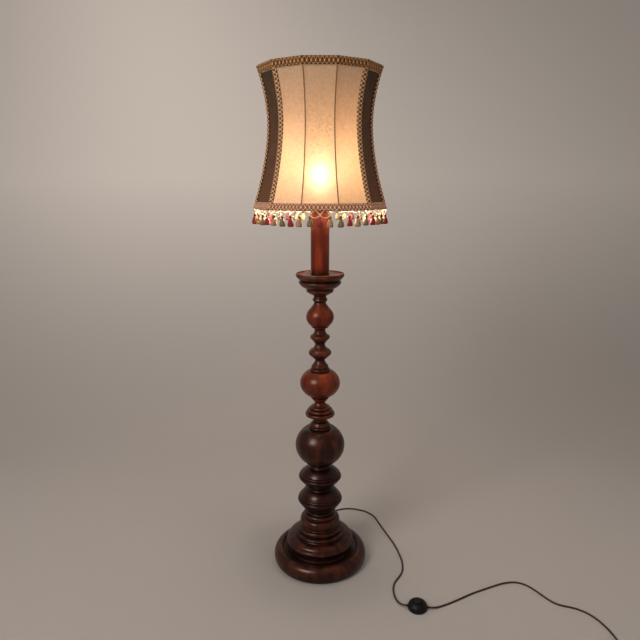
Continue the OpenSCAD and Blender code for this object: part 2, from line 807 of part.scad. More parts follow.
// Everything inside one side's face, or inside a face that lies off outside it
module inside_side(side, off, z0, z1) {
    rotate([0, 0, side_angle(side)])
        rotate([90, 0, 0])
            linear_extrude(height = 2 * reach * tan(half_angle), center = true)
                polygon(concat([[reach / 8, z0]], side_edge(off, z0, z1), [[reach / 8, z1]]));
}

module inside_rib(rib, off, z0, z1) {
    intersection() {
        inside_side(rib - 1, off, z0, z1);
        inside_side(rib, off, z0, z1);
    }
}

// Strip of width w bent over a rib, t thick, between heights z0 and z1
module rib_strip(rib, w, t, z0, z1) {
    intersection() {
        difference() {
            inside_rib(rib, glue_gap + t, z0, z1);
            inside_rib(rib, glue_gap, z0, z1);
        }
        rotate([0, 0, side_angle(rib) - half_angle])
            translate([reach / 4, -w / 2, z0])
                cube([reach, w, z1 - z0]);
    }
}

function is_braided(rib) = len([for (s = fabric_sides) if (rib == s || rib == s + 1) 1]) > 0;

module rim_braids() {
    color(braid_colour)
        translate([0, 0, z_shade]) {
            band(glue_gap, braid_t, 0, bottom_braid_h);
            band(glue_gap, braid_t, shade_h - top_braid_h, shade_h);
        }
}

module rib_braids() {
    color(braid_colour)
        translate([0, 0, z_shade])
            for (rib = [0:side_count - 1])
                if (is_braided(rib))
                    rib_strip(rib, rib_braid_w, braid_t, bottom_braid_h, shade_h - top_braid_h);
}

module seam_tapes() {
    color("#2a1a14")
        translate([0, 0, z_shade])
            for (rib = [0:side_count - 1])
                if (!is_braided(rib))
                    rib_strip(rib, seam_w, seam_t, bottom_braid_h, shade_h - top_braid_h);
}

// One tassel hanging from height 0: the thread tied into the net, the knot and the skirt
module tassel() {
    tie = 1.5;
    r = tassel_r;
    h = tassel_h;
    rotate_extrude($fn = 24)
        polygon(concat([[0, -h]], outline([
            [0.8 * r, -h], [r, -0.92 * h, LINE], [0.5 * r, -0.42 * h, BOW, 0.08], [0.38 * r, -0.38 * h, LINE],
            [0.55 * r, -0.27 * h, SWELL], [0.2 * r, -0.14 * h, ROLL], [0.2 * r, tie, LINE],
        ]), [[0, tie]]));
}

module fringe() {
    net_in = panel_t + glue_gap;
    middle = edge(0) * cos(half_angle) - net_in + panel_t / 2;
    color("#a4574a")
        translate([0, 0, z_shade]) {
            band(-net_in, panel_t, -net_h, 0);
            for (i = [0:tassel_count - 1]) {
                a = i * 360 / tassel_count;
                off_middle = a - 2 * half_angle * round(a / (2 * half_angle));
                rotate([0, 0, -90 + a])
                    translate([middle / cos(off_middle), 0, -net_h])
                        tassel();
            }
        }
}

function rib_point(angle, z) = [(edge(z) - wire_in) * cos(angle), (edge(z) - wire_in) * sin(angle), z];

// Straight wire between two points
module wire(p, q) {
    d = q - p;
    flat = norm([d[0], d[1]]);
    translate(p)
        rotate([0, 90 - atan2(d[2], flat), atan2(d[1], d[0])])
            cylinder(r = wire_r, h = norm(d), $fn = 24);
}

// Ring of straight wires, bent at the shade's corners
module wire_ring(z) {
    sides = 8;
    hoop([for (i = [0:side_count - 1])
        let (a = side_angle(i) + half_angle, u = [cos(a), sin(a), 0] / cos(half_angle))
        [for (k = [0:sides - 1])
            let (t = (k + 0.5) * 360 / sides)
            rib_point(a, z) + wire_r * (cos(t) * u + [0, 0, sin(t)])]]);
}

module shade_rings() {
    color(steel)
        translate([0, 0, z_shade]) {
            wire_ring(ring_inset);
            wire_ring(shade_h - ring_inset);
        }
}

module shade_ribs() {
    z0 = ring_inset + wire_r;
    z1 = shade_h - ring_inset - wire_r;
    color(steel)
        translate([0, 0, z_shade])
            for (i = [0:side_count - 1]) {
                a = side_angle(i) - half_angle;
                bends = [for (k = [1:panel_steps - 1]) k * panel_step];
                path = [for (z = concat([z0], bends, [z1])) rib_point(a, z)];
                sweep(path, wire_r, 8, [0, 0, 1], [0, 0, 1], [-sin(a), cos(a), 0]);
            }
}

module shade_spider() {
    inner = sleeve_r + fitter_gap;
    outer = inner + fitter_w;
    z_arm = z_fitter + fitter_t / 2;
    ring_r = edge(ring_inset) - wire_in - wire_r * (1 / cos(half_angle) + tan(half_angle)) - wire_gap;
    color(steel) {
        ring(z_fitter, inner, outer, fitter_t);
        for (a = spider_angles)
            wire([(outer - wire_r) * cos(a), (outer - wire_r) * sin(a), z_arm + wire_r - fitter_t / 2 + 0.5],
                [ring_r * cos(a), ring_r * sin(a), z_shade + ring_inset]);
    }
}

// ---- flex ----

function unit(v) = v / norm(v);

// Point at t from 0 to 1 between b and c on the smooth curve through a, b, c and d
function between(a, b, c, d, t) =
    0.5 * (2 * b + (c - a) * t + (2 * a - 5 * b + 4 * c - d) * t * t + (3 * b - a - 3 * c + d) * t * t * t);

// Smooth curve through the points of a route, with a ring about every step
function smooth(route, step) = let (n = len(route))
    concat([for (i = [0:n - 2])
        let (a = route[max(i - 1, 0)], b = route[i], c = route[i + 1], d = route[min(i + 2, n - 1)],
            parts = max(1, round(norm(c - b) / step)))
        each [for (k = [0:parts - 1]) between(a, b, c, d, k / parts)]], [route[n - 1]]);

// Tube of radius r along a path, as one polyhedron whose ends face start and finish
module sweep(path, r, sides, start, finish, up = [0, 0, 1]) {
    n = len(path);
    heading = [for (i = [0:n - 1])
        i == 0 ? unit(start) : i == n - 1 ? unit(finish) : unit(path[i + 1] - path[i - 1])];
    points = [for (i = [0:n - 1])
        let (right = unit(cross(heading[i], up)), top = cross(right, heading[i]))
        each [for (k = [0:sides - 1])
            let (a = (k + 0.5) * 360 / sides)
            path[i] + r * (cos(a) * right + sin(a) * top)]];
    walls = [for (i = [0:n - 2], k = [0:sides - 1])
        let (a = i * sides + k, b = i * sides + (k + 1) % sides)
        each [[a, b, b + sides], [a, b + sides, a + sides]]];
    last = (n - 1) * sides;
    ends = [for (k = [1:sides - 2]) each [[0, k + 1, k], [last, last + k, last + k + 1]]];
    polyhedron(points = points, faces = concat(walls, ends));
}

flex_r = flex_d / 2;
flex_step = 3 * flex_d;

// Strain relief: where its tapered end stands behind the base
gland_end = base_r + gland_h;
gland_in = 6;

// Foot switch on the floor
switch_x = 315;
switch_y = -273;
switch_turn = -8;
sleeve_out = 4;
sleeve_z = 7;
switch_reach = switch_r + sleeve_out;
switch_axis = [cos(switch_turn), sin(switch_turn), 0];
switch_in = [switch_x, switch_y, sleeve_z] - switch_reach * switch_axis;
switch_out = [switch_x, switch_y, sleeve_z] + switch_reach * switch_axis;

// Points of the flex's route, in order, from the base to the foot switch
route_to_switch = concat([[0, gland_end, gland_z], [0, gland_end + flex_d, gland_z]], [
    [3, 214, 9], [10, 238, 4], [22, 264, 3], [42, 289, 3], [68, 308, 3], [100, 320, 3], [131, 322, 3],
    [160, 314, 3], [188, 301, 3], [209, 282, 3], [225, 256, 3], [239, 210, 3], [253, 163, 3],
    [267, 118, 3], [279, 78, 3], [288, 39, 3], [294, 0, 3], [297, -38, 3], [294, -75, 3],
    [286, -102, 3], [272, -127, 3], [258, -149, 3], [250, -171, 3], [247, -191, 3], [247, -209, 3],
    [249, -228, 3], [254, -246, 4], [263, -260, 5.5],
], [switch_in - flex_d * switch_axis, switch_in]);

// Points of the flex's route, in order, from the foot switch to the coil
coil_x = 846;
coil_y = -496;
coil_turns = 5.25;
coil_inner_r = 26;
coil_pitch = 6.8;
layer_h = 6.8;
loop_rings = 24;
coil_turnback = coil_turns / 2;
coil_outer_r = coil_inner_r + coil_pitch * coil_turnback;
coil_start = [coil_x + coil_outer_r, coil_y + flex_d, flex_r];
route_to_wall = concat([switch_out, switch_out + flex_d * switch_axis], [
    [372, -277, 5.5], [388, -271, 4], [404, -263, 3], [428, -252, 3], [464, -232, 3], [505, -209, 3],
    [543, -191, 3], [584, -173, 3], [623, -157, 3], [660, -150, 3], [689, -156, 3], [712, -175, 3],
    [731, -203, 3], [748, -232, 3], [764, -252, 3], [783, -264, 3], [806, -272, 3], [830, -283, 3],
    [853, -302, 3], [871, -330, 3], [883, -364, 3], [889, -400, 3], [890, -436, 3], [890, -464, 3],
], [coil_start]);

// Radius and height of the coil after t turns: in on the floor, then out again on top
function coil_r(t) = coil_inner_r + coil_pitch * abs(t - coil_turnback);
function coil_z(t) =
    let (u = min(max((t - coil_turnback) * 2 + 0.5, 0), 1))
    flex_r + layer_h * u * u * (3 - 2 * u);
function coil_point(t) = [coil_x + coil_r(t) * cos(360 * t), coil_y - coil_r(t) * sin(360 * t), coil_z(t)];
coil_steps = coil_turns * loop_rings;
coil_loops = [for (i = [0:coil_steps]) coil_point(i / loop_rings)];
tail_h = 26;
coil_end = [coil_x - tail_h, coil_y - coil_outer_r, plug_t / 2];
coil_path = concat([coil_start], coil_loops,
    [[coil_x - 0.4 * tail_h, coil_end[1], coil_z(coil_turns) - 0.4], coil_end + [flex_d, 0, 0], coil_end]);
coil_gap = min([for (i = [0:len(coil_loops) - 1], j = [i + loop_rings / 2:len(coil_loops) - 1])
    norm(coil_loops[i] - coil_loops[j])]) - flex_d;
echo(str("Least gap between the turns of the coil: ", coil_gap, " mm"));

module flex_to_switch() {
    color(flex_brown)
        sweep(smooth(route_to_switch, flex_step), flex_r, 8, [0, 1, 0], switch_axis);
}

module flex_to_wall() {
    color(flex_brown)
        sweep(smooth(route_to_wall, flex_step), flex_r, 8, switch_axis, [0, -1, 0]);
}

module flex_coil() {
    color(flex_brown)
        sweep(coil_path, flex_r, 6, [0, -1, 0], [-1, 0, 0]);
}

module cord_gland() {
    flange_r = flex_r + 4;
    color(black_plastic)
        translate([0, 0, gland_z])
            rotate([-90, 0, 0]) {
                translate([0, 0, recess_r - gland_in])
                    cylinder(r = flex_r + 2.3, h = base_r - recess_r + gland_in, $fn = 32);
                translate([0, 0, base_r])
                    cylinder(r = flange_r, h = 3, $fn = 32);
                translate([0, 0, base_r])
                    cylinder(r1 = flex_r + 2.3, r2 = flex_r + 0.6, h = gland_h, $fn = 32);
            }
}

module inner_flex() {
    route = concat(
        [[0, recess_r - gland_in, gland_z], [0, recess_r - 24, 9], [0, 60, 7], [0, 30, 6.4], [0, 14, 6.4]],
        [[0, 5.6, 7.4], [0, 1.4, 10.6], [0, 0, 15], [0, 0, z_foot]], [[0, 0, z_shell]]);
    color(flex_brown)
        sweep(route, inner_flex_d / 2, 8, [0, -1, 0], [0, 0, 1], [1, 0, 0]);
}

// ---- foot switch ----

base_plate_h = 3;
cover_wall = 2.5;
cover_top_t = 3.5;
flange_h = 1.7;
z_button_flange = switch_h - cover_top_t - 0.3 - flange_h;
spring_r = 6.5;
spring_wire_r = 0.6;
spring_turns = 5;

module at_switch() {
    translate([switch_x, switch_y, 0])
        rotate([0, 0, switch_turn])
            children();
}

module switch_base() {
    color(black_plastic)
        at_switch() {
            cylinder(r = switch_r - cover_wall - spigot_gap, h = base_plate_h, $fn = 64);
            cylinder(r = spring_r - spring_wire_r - 1, h = base_plate_h + 4, $fn = 32);
        }
}

module switch_cover() {
    r = switch_r;
    h = switch_h;
    hole = button_r + button_gap;
    inner_top = h - cover_top_t;
    color(black_plastic)
        at_switch() {
            rotate_extrude($fn = 96)
                polygon(concat(
                    [[r - cover_wall, 0]],
                    outline([
                        [r - 0.6, 0], [r, 0.6, LINE], [r, 0.3 * h, LINE], [hole + 9, 0.86 * h, BOW, 0.12],
                        [hole + 7, 0.88 * h, LINE], [hole + 4.5, h, SWELL], [hole + 1.5, h, LINE],
                        [hole, h - 1.5, ROLL], [hole, inner_top, LINE], [hole + 6, inner_top, LINE],
                        [r - cover_wall, 0.34 * h, BOW, -0.08],
                    ])));
            for (side = [0, 180])
                rotate([0, 0, side])
                    translate([r - 1.2, 0, sleeve_z])
                        rotate([0, 90, 0])
                            cylinder(r1 = flex_r + 2, r2 = flex_r + 1, h = sleeve_out + 1.2, $fn = 32);
        }
}

module switch_button() {
    r = button_r;
    top = switch_h + button_out;
    color("#262422")
        at_switch()
            rotate_extrude($fn = 64)
                polygon(concat([[0, z_button_flange]], outline([
                    [r + 2.6, z_button_flange], [r + 2.6, z_button_flange + flange_h, LINE],
                    [r, z_button_flange + flange_h, LINE], [r, top - 2.2, LINE], [r - 1.8, top - 0.7, ROLL],
                    [0, top, BOW, 0.02],
                ])));
}

module switch_spring() {
    low = base_plate_h + spring_wire_r + 0.05;
    high = z_button_flange - spring_wire_r - 0.05;
    steps = spring_turns * 12;
    path = [for (i = [0:steps]) let (a = 30 * i)
        [spring_r * cos(a), spring_r * sin(a), low + (high - low) * i / steps]];
    color(steel)
        at_switch()
            sweep(path, spring_wire_r, 6, [0, 1, 0], [0, 1, 0]);
}

module switch_contacts() {
    color(brass)
        at_switch()
            for (side = [0, 180])
                rotate([0, 0, side])
                    translate([10, -5, base_plate_h])
                        cube([5, 10, 9]);
}

// ---- plug ----

relief_h = 20;

module at_plug() {
    translate([coil_end[0], coil_end[1], plug_t / 2])
        rotate([0, 0, 180])
            children();
}

module plug_body() {
    shoulder = 0.42 * plug_h;
    rear_w = 0.42 * plug_w;
    edge = 0.22 * plug_t;
    color(black_plastic)
        at_plug() {
            rotate([0, 90, 0])
                cylinder(r1 = flex_r + 0.5, r2 = flex_r + 2.5, h = relief_h + 1, $fn = 32);
            translate([relief_h, 0, 0])
                intersection() {
                    translate([0, 0, -plug_t / 2])
                        linear_extrude(height = plug_t)
                            polygon([
                                [0, -rear_w / 2], [shoulder, -plug_w / 2], [plug_h, -plug_w / 2],
                                [plug_h, plug_w / 2], [shoulder, plug_w / 2], [0, rear_w / 2],
                            ]);
                    rotate([90, 0, 90])
                        linear_extrude(height = plug_h)
                            polygon([
                                [-plug_w / 2, -edge], [-plug_w / 2 + edge, -plug_t / 2],
                                [plug_w / 2 - edge, -plug_t / 2], [plug_w / 2, -edge], [plug_w / 2, edge],
                                [plug_w / 2 - edge, plug_t / 2], [-plug_w / 2 + edge, plug_t / 2],
                                [-plug_w / 2, edge],
                            ]);
                }
        }
}

module plug_pins() {
    color(brass)
        at_plug()
            for (side = [-1, 1])
                translate([relief_h + plug_h, side * pin_pitch / 2, 0])
                    rotate([0, 90, 0]) {
                        cylinder(r = pin_r, h = pin_h - 1, $fn = 32);
                        translate([0, 0, pin_h - 1])
                            cylinder(r1 = pin_r, r2 = pin_r - 0.7, h = 1, $fn = 32);
                    }
}

module parchment_panel(n) {
    parchment_sides = [for (i = [0:side_count - 1]) if (len(search(i, fabric_sides)) == 0) i];
    color(parchment)
        panel(parchment_sides[n - 1]);
}

module fabric_panel(n) {
    color(brown_cloth)
        panel(fabric_sides[n - 1]);
}

base_felt();
ballast_disc();
base_ring();
base_foot();
pedestal();
lower_disc();
upper_disc();
big_ball();
big_ball_collar();
ringed_disc();
middle_ball();
middle_ball_collar();
lower_spool();
upper_spool();
upper_ball();
neck_ring();
bobeche_cup();
bobeche_dish();
candle_sleeve();
sleeve_cap();
lamp_tube();
tube_nuts();
tube_washers();
cord_gland();
inner_flex();
holder_cap();
holder_insert();
holder_shell();
shade_clamp_ring();
bulb_glass();
bulb_cap();
shade_rings();
shade_ribs();
shade_spider();
parchment_panel(1);  // parchment_panel_1
parchment_panel(2);  // parchment_panel_2
parchment_panel(3);  // parchment_panel_3
parchment_panel(4);  // parchment_panel_4
parchment_panel(5);  // parchment_panel_5
parchment_panel(6);  // parchment_panel_6
parchment_panel(7);  // parchment_panel_7
parchment_panel(8);  // parchment_panel_8
parchment_panel(9);  // parchment_panel_9
fabric_panel(1);  // fabric_panel_1
fabric_panel(2);  // fabric_panel_2
fabric_panel(3);  // fabric_panel_3
rim_braids();
rib_braids();
seam_tapes();
fringe();
switch_base();
switch_cover();
switch_button();
switch_spring();
switch_contacts();
flex_to_switch();
flex_to_wall();
flex_coil();
plug_body();
plug_pins();
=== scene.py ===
# %% [markdown]
# # A candlestick floor lamp
# The lamp is a stack of turned wooden pieces on a threaded tube, with a plain sleeve on top
# that stands for a candle, and a waisted shade of parchment and dark cloth over the bulb.
# The solids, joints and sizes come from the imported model. This lesson gives them their finish,
# and makes the soft pieces: flex, panels, braids, fringe and felt.
# All lengths are in metres, so a size that is written in millimetres goes through mm().

# %% Load the lamp's frame
import math
import json

import bmesh
import bpy
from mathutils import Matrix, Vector

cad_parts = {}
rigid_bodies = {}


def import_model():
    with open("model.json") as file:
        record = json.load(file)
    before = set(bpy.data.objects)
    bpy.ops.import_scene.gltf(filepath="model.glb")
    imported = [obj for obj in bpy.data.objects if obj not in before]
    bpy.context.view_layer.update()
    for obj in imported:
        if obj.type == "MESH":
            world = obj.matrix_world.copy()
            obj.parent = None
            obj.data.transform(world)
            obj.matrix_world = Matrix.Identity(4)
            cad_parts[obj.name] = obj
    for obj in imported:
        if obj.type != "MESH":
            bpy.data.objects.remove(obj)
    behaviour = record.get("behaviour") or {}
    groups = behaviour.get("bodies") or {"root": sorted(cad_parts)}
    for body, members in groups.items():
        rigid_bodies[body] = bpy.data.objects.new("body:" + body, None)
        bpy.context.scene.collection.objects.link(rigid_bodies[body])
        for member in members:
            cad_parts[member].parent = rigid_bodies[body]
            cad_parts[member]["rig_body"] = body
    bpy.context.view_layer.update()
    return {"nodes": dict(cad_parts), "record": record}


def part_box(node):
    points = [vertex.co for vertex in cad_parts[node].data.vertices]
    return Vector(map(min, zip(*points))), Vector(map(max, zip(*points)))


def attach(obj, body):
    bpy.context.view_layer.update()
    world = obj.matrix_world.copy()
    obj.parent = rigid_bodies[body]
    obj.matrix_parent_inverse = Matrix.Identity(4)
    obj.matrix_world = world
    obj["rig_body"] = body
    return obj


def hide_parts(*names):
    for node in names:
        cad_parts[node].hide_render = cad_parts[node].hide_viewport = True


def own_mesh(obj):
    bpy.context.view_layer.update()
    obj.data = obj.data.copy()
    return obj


for thing in list(bpy.data.objects):
    bpy.data.objects.remove(thing)

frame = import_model()
scene = bpy.context.scene


def mm(value):
    """Millimetres as metres."""
    return value * 0.001


# %% [markdown]
# ## The camera
# The photograph was taken from a person's chest height, looking down by about thirteen degrees.
# The ellipses of the base, the dish and the shade's rims give the height, the tilt and the
# focal length, and the lamp's column stands on the middle of the picture.

# %% Place the camera
picture_px = 640
focal_px = 585
camera_height = 1.3255
camera_distance = 1.9105
camera_tilt = 12.77

camera_data = bpy.data.cameras.new("photo_camera")
camera_data.sensor_width = 36
camera_data.lens = focal_px * camera_data.sensor_width / picture_px
camera = bpy.data.objects.new("photo_camera", camera_data)
camera.location = (0, -camera_distance, camera_height)
camera.rotation_euler = (math.radians(90 - camera_tilt), 0, 0)
scene.collection.objects.link(camera)
scene.camera = camera
print("camera: lens", round(camera_data.lens, 2), "mm, tilted", camera_tilt, "degrees")

# %% [markdown]
# ## Helpers
# A colour is written as a hex value, as a colour picker gives it, and turned to linear light.
# One small function adds a node to a tree, for materials and for Geometry Nodes alike. A kind
# such as Math is short for ShaderNodeMath. Inputs go by their names, or as a list in the order
# of the node's live inputs: a MapRange takes the value, the range it comes from, and the range it
# goes to. An input that is given another node is linked to that node's first live output.

# %% Colour and node helpers


def linear(hex_colour):
    """A hex sRGB colour as linear RGBA."""
    parts = [int(hex_colour[i:i + 2], 16) / 255 for i in (1, 3, 5)]
    return [c / 12.92 if c <= 0.04045 else ((c + 0.055) / 1.055) ** 2.4 for c in parts] + [1]


def give(tree, node, inputs):
    """Gives a node's inputs their values or hex colours, or links them to nodes and sockets."""
    if not isinstance(inputs, dict):
        live = [i for i, socket in enumerate(node.inputs) if socket.enabled]
        inputs = dict(zip(live, inputs))
    for name, value in inputs.items():
        if isinstance(value, str) and value.startswith("#"):
            value = linear(value)
        if isinstance(value, bpy.types.Node):
            value = next(socket for socket in value.outputs if socket.enabled)
        if isinstance(value, bpy.types.NodeSocket):
            tree.links.new(value, node.inputs[name])
        else:
            node.inputs[name].default_value = value


def add(tree, kind, inputs=(), operation=None, **settings):
    """Adds a node to a tree, with its settings, values and links."""
    node = tree.nodes.new(kind if "Node" in kind else "ShaderNode" + kind)
    if operation:
        node.operation = operation
    for name, value in settings.items():
        setattr(node, name, value)
    give(tree, node, inputs)
    return node


def new_material(name, **values):
    """A material, its tree, its shader with the plain values set, and the point on the object."""
    material = bpy.data.materials.new(name)
    material.use_nodes = True
    tree = material.node_tree
    shader = tree.nodes["Principled BSDF"]
    give(tree, shader, {key.replace("_", " ").title().replace("Ior", "IOR"): value
                        for key, value in values.items()})
    return material, tree, shader, add(tree, "TexCoord").outputs["Object"]


def new_group(name, takes, makes):
    """A Geometry Nodes tree with its sockets, and the outputs of its input node."""
    tree = bpy.data.node_groups.new(name, "GeometryNodeTree")
    for label, kind in takes.items():
        tree.interface.new_socket(label, in_out="INPUT", socket_type="NodeSocket" + kind)
    tree.interface.new_socket(makes, in_out="OUTPUT", socket_type="NodeSocketGeometry")
    return tree, add(tree, "NodeGroupInput").outputs


# %% [markdown]
# The soft pieces are built in two ways. Some are curves, and the others are closed skins: rings
# of points, one behind another, joined by quads.

# %% Object, curve and skin helpers


def stand(name, data, body=None, slot=None, replaced=()):
    """An object that shows the data, hung on a body, with the solids it replaces hidden."""
    piece = bpy.data.objects.new(name, data)
    scene.collection.objects.link(piece)
    if body:
        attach(piece, body)
    if replaced:
        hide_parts(*replaced)
    return piece


def lines(name, point_lists, closed=False):
    """A curve object with one straight-sided spline for each list of points."""
    curve = bpy.data.curves.new(name, "CURVE")
    curve.dimensions = "3D"
    for points in point_lists:
        spline = curve.splines.new("POLY")
        spline.points.add(len(points) - 1)
        for place, p in zip(spline.points, points):
            place.co = (*p, 1)
        spline.use_cyclic_u = closed
    return stand(name, curve)


def skin(name, bodies, joined=False):
    """A mesh of one skin over each list of rings, with its ends joined or filled with quads."""
    corners, faces = [], []
    for rings in bodies:
        count = len(rings[0])
        starts = [len(corners) + i * count for i in range(len(rings))]
        corners += [p for ring in rings for p in ring]
        pairs = list(zip(starts, starts[1:])) + [(starts[-1], starts[0])] * joined
        faces += [(a + k, a + (k + 1) % count, b + (k + 1) % count, b + k)
                  for a, b in pairs for k in range(count)]
        for k in range(0 if joined else count // 2 - 1):
            a, b = starts[0] + k, starts[0] + count - 1 - k
            faces.append((a, b, b - 1, a + 1))
            a, b = starts[-1] + k, starts[-1] + count - 1 - k
            faces.append((a, a + 1, b - 1, b))
    mesh = bpy.data.meshes.new(name)
    mesh.from_pydata(corners, [], faces)
    return mesh


# %% [markdown]
# ## One recipe for the plain finishes
# Hardly any real surface is one flat colour. Dust, handling and the making leave soft clouds of
# a second tone, the same clouds change the gloss, and a fine relief breaks up the highlights.
# The plain finishes differ only in these colours and sizes, so they share one recipe.

# %% Recipe of a cloudy finish


def cloudy(name, tones, cloud_mm, gloss, fine_mm, depth_mm, stretch=(1, 1, 1), **values):
    """A finish in two tones, with clouds cloud_mm wide, and relief fine_mm wide, depth_mm deep."""
    material, tree, shader, place = new_material(name, **values)
    pulled = add(tree, "VectorMath", [place, [1 / s for s in stretch]], "MULTIPLY")
    clouds = add(tree, "TexNoise", {"Vector": pulled, "Scale": 1 / mm(cloud_mm), "Detail": 3})
    share = add(tree, "MapRange", [clouds, 0.33, 0.67])
    colour = add(tree, "Mix", [share, tones[0], tones[1]], data_type="RGBA")
    dull = add(tree, "MapRange", [clouds, 0.3, 0.7, gloss[0], gloss[1]])
    fine = add(tree, "TexNoise", {"Vector": pulled, "Scale": 1 / mm(fine_mm), "Detail": 2})
    relief = add(tree, "Bump", {"Height": fine, "Distance": mm(depth_mm)})
    give(tree, shader, {"Base Color": colour, "Roughness": dull, "Normal": relief})
    return material


# %% [markdown]
# ## The flex
# A floor lamp has a round mains lead, brown here. It leaves the strain relief behind the base,
# sweeps round the right-hand side, passes a foot switch, and runs off to the wall. What the
# photograph doesn't show is wound into a neat coil beside the plug.
# The lead is a curve with a round bevel, so that its real length is that of the curve. The free
# stretches pass through listed points, and the coil is worked out turn by turn: it spirals in,
# climbs one layer in half a turn, and spirals out again.

# %% Route of the flex
flex_d = mm(6)

route_to_switch = [
    (0, 192, 13), (0, 198, 13), (3, 214, 9), (10, 238, 4), (22, 264, 3), (42, 289, 3),
    (68, 308, 3), (100, 320, 3), (131, 322, 3), (160, 314, 3), (188, 301, 3), (209, 282, 3),
    (225, 256, 3), (239, 210, 3), (253, 163, 3), (267, 118, 3), (279, 78, 3), (288, 39, 3),
    (294, 0, 3), (297, -38, 3), (294, -75, 3), (286, -102, 3), (272, -127, 3), (258, -149, 3),
    (250, -171, 3), (247, -191, 3), (247, -209, 3), (249, -228, 3), (254, -246, 4),
    (263, -260, 5.5),
]
route_to_wall = [
    (372, -277, 5.5), (388, -271, 4), (404, -263, 3), (428, -252, 3), (464, -232, 3),
    (505, -209, 3), (543, -191, 3), (584, -173, 3), (623, -157, 3), (660, -150, 3),
    (689, -156, 3), (712, -175, 3), (731, -203, 3), (748, -232, 3), (764, -252, 3),
    (783, -264, 3), (806, -272, 3), (830, -283, 3), (853, -302, 3), (871, -330, 3),
    (883, -364, 3), (889, -400, 3), (890, -436, 3), (890, -464, 3),
]
switch_centre = Vector((315, -273, 0))
switch_turn = math.radians(-8)
switch_reach = 35
sleeve_height = 7
switch_axis = Vector((math.cos(switch_turn), math.sin(switch_turn), 0))
switch_in = switch_centre - switch_reach * switch_axis + Vector((0, 0, sleeve_height))
switch_out = switch_centre + switch_reach * switch_axis + Vector((0, 0, sleeve_height))
lead_in = 6
to_switch = [Vector(p) for p in route_to_switch] + [switch_in - lead_in * switch_axis, switch_in]
to_wall = [switch_out, switch_out + lead_in * switch_axis] + [Vector(p) for p in route_to_wall]
print("route:", len(to_switch), "and", len(to_wall), "points")

# %% Coil of the flex
coil_turns = 5.25
coil_centre = Vector((846, -496, 0))
coil_inner_r = 26
coil_pitch = 6.8
rings_a_turn = 24


def coil_point(turn):
    """Point of the coil's middle line after so many turns, in millimetres."""
    half = coil_turns / 2
    r = coil_inner_r + coil_pitch * abs(turn - half)
    climb = min(max((turn - half) * 2 + 0.5, 0), 1)
    z = flex_d * 1000 / 2 + coil_pitch * climb * climb * (3 - 2 * climb)
    angle = math.tau * turn
    return coil_centre + Vector((r * math.cos(angle), -r * math.sin(angle), z))


coil = [coil_point(i / rings_a_turn) for i in range(round(coil_turns * rings_a_turn) + 1)]
coil_end = Vector((820, -539.85, 6.8))
first_step = Vector((-10.4, 0, -0.4))
last_step = Vector((-6, 0, 0))
tail = [Vector((coil_centre.x, coil_end.y, coil[-1].z)) + first_step,
        coil_end - last_step, coil_end]
print("coil:", coil_turns, "turns,", len(coil), "points")

# %% Make the two stretches of flex


def smooth_route(points, step=18):
    """A smooth line through the points, one part for about every step millimetres."""
    line = []
    for i in range(len(points) - 1):
        before = points[max(i - 1, 0)]
        start, end = points[i], points[i + 1]
        after = points[min(i + 2, len(points) - 1)]
        parts = max(1, round((end - start).length / step)) * 4
        for k in range(parts):
            t = k / parts
            line.append(0.5 * (2 * start + (end - before) * t
                               + (2 * before - 5 * start + 4 * end - after) * t * t
                               + (3 * start - before - 3 * end + after) * t ** 3))
    return line + [points[-1]]


def flex_curve(name, points):
    """A round curve along the points, and its length in metres."""
    piece = lines(name, [[p * 0.001 for p in points]])
    piece.data.bevel_depth = flex_d / 2
    piece.data.bevel_resolution = 4
    piece.data.use_fill_caps = True
    return piece, sum((b - a).length for a, b in zip(points, points[1:])) * 0.001


first_line = smooth_route(to_switch)
second_line = smooth_route(to_wall + coil[:1])[:-1] + coil + tail
flex_a, length_a = flex_curve("flex_base_to_switch", first_line)
flex_b, length_b = flex_curve("flex_switch_to_plug", second_line)
print("flex:", round(length_a, 3), "m to the switch,", round(length_b, 3), "m to the plug")

# %% [markdown]
# The lead's sheath is soft PVC, extruded, so it is smooth with a dull sheen, and its brown is
# slightly uneven where dust and handling have marked it.

# %% Brown PVC sheath
flex_pvc = cloudy("brown_pvc_sheath", ("#24150e", "#38231a"), 40, (0.4, 0.54), 1.5, 0.05,
                  specular_ior_level=0.35)
for piece in (flex_a, flex_b):
    piece.data.materials.append(flex_pvc)
    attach(piece, frame["record"]["behaviour"]["joints"][0]["parent"])
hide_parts("flex_to_switch")
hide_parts("flex_to_wall", "flex_coil")

# %% [markdown]
# ## Floor, backdrop and lights
# The lamp stands on a plain sheet that sweeps up behind it, as a studio's paper roll does, so
# that there is no horizon. One large soft lamp stands in front on the left, and its mirror image
# is the highlight on the varnish. Weaker ones fill from the right and from above, one lights the
# paper behind, and the world fills the shadows.
# Far from the lamp the paper glows as the world does, so that its edges melt away, and it can
# be seen through from behind, so that it hides the lamp from no side.

# %% Paper sweep
sweep_half_width = 7
sweep_front = -5
sweep_bend = 0.8
sweep_radius = 2.8
sweep_top = 7.6
bend_steps = 32

air_colour = "#e8e1da"
air_strength = 0.35
melt_centre = (0, 2.6, 1.2)
melt_start, melt_end = 3.9, 6.4

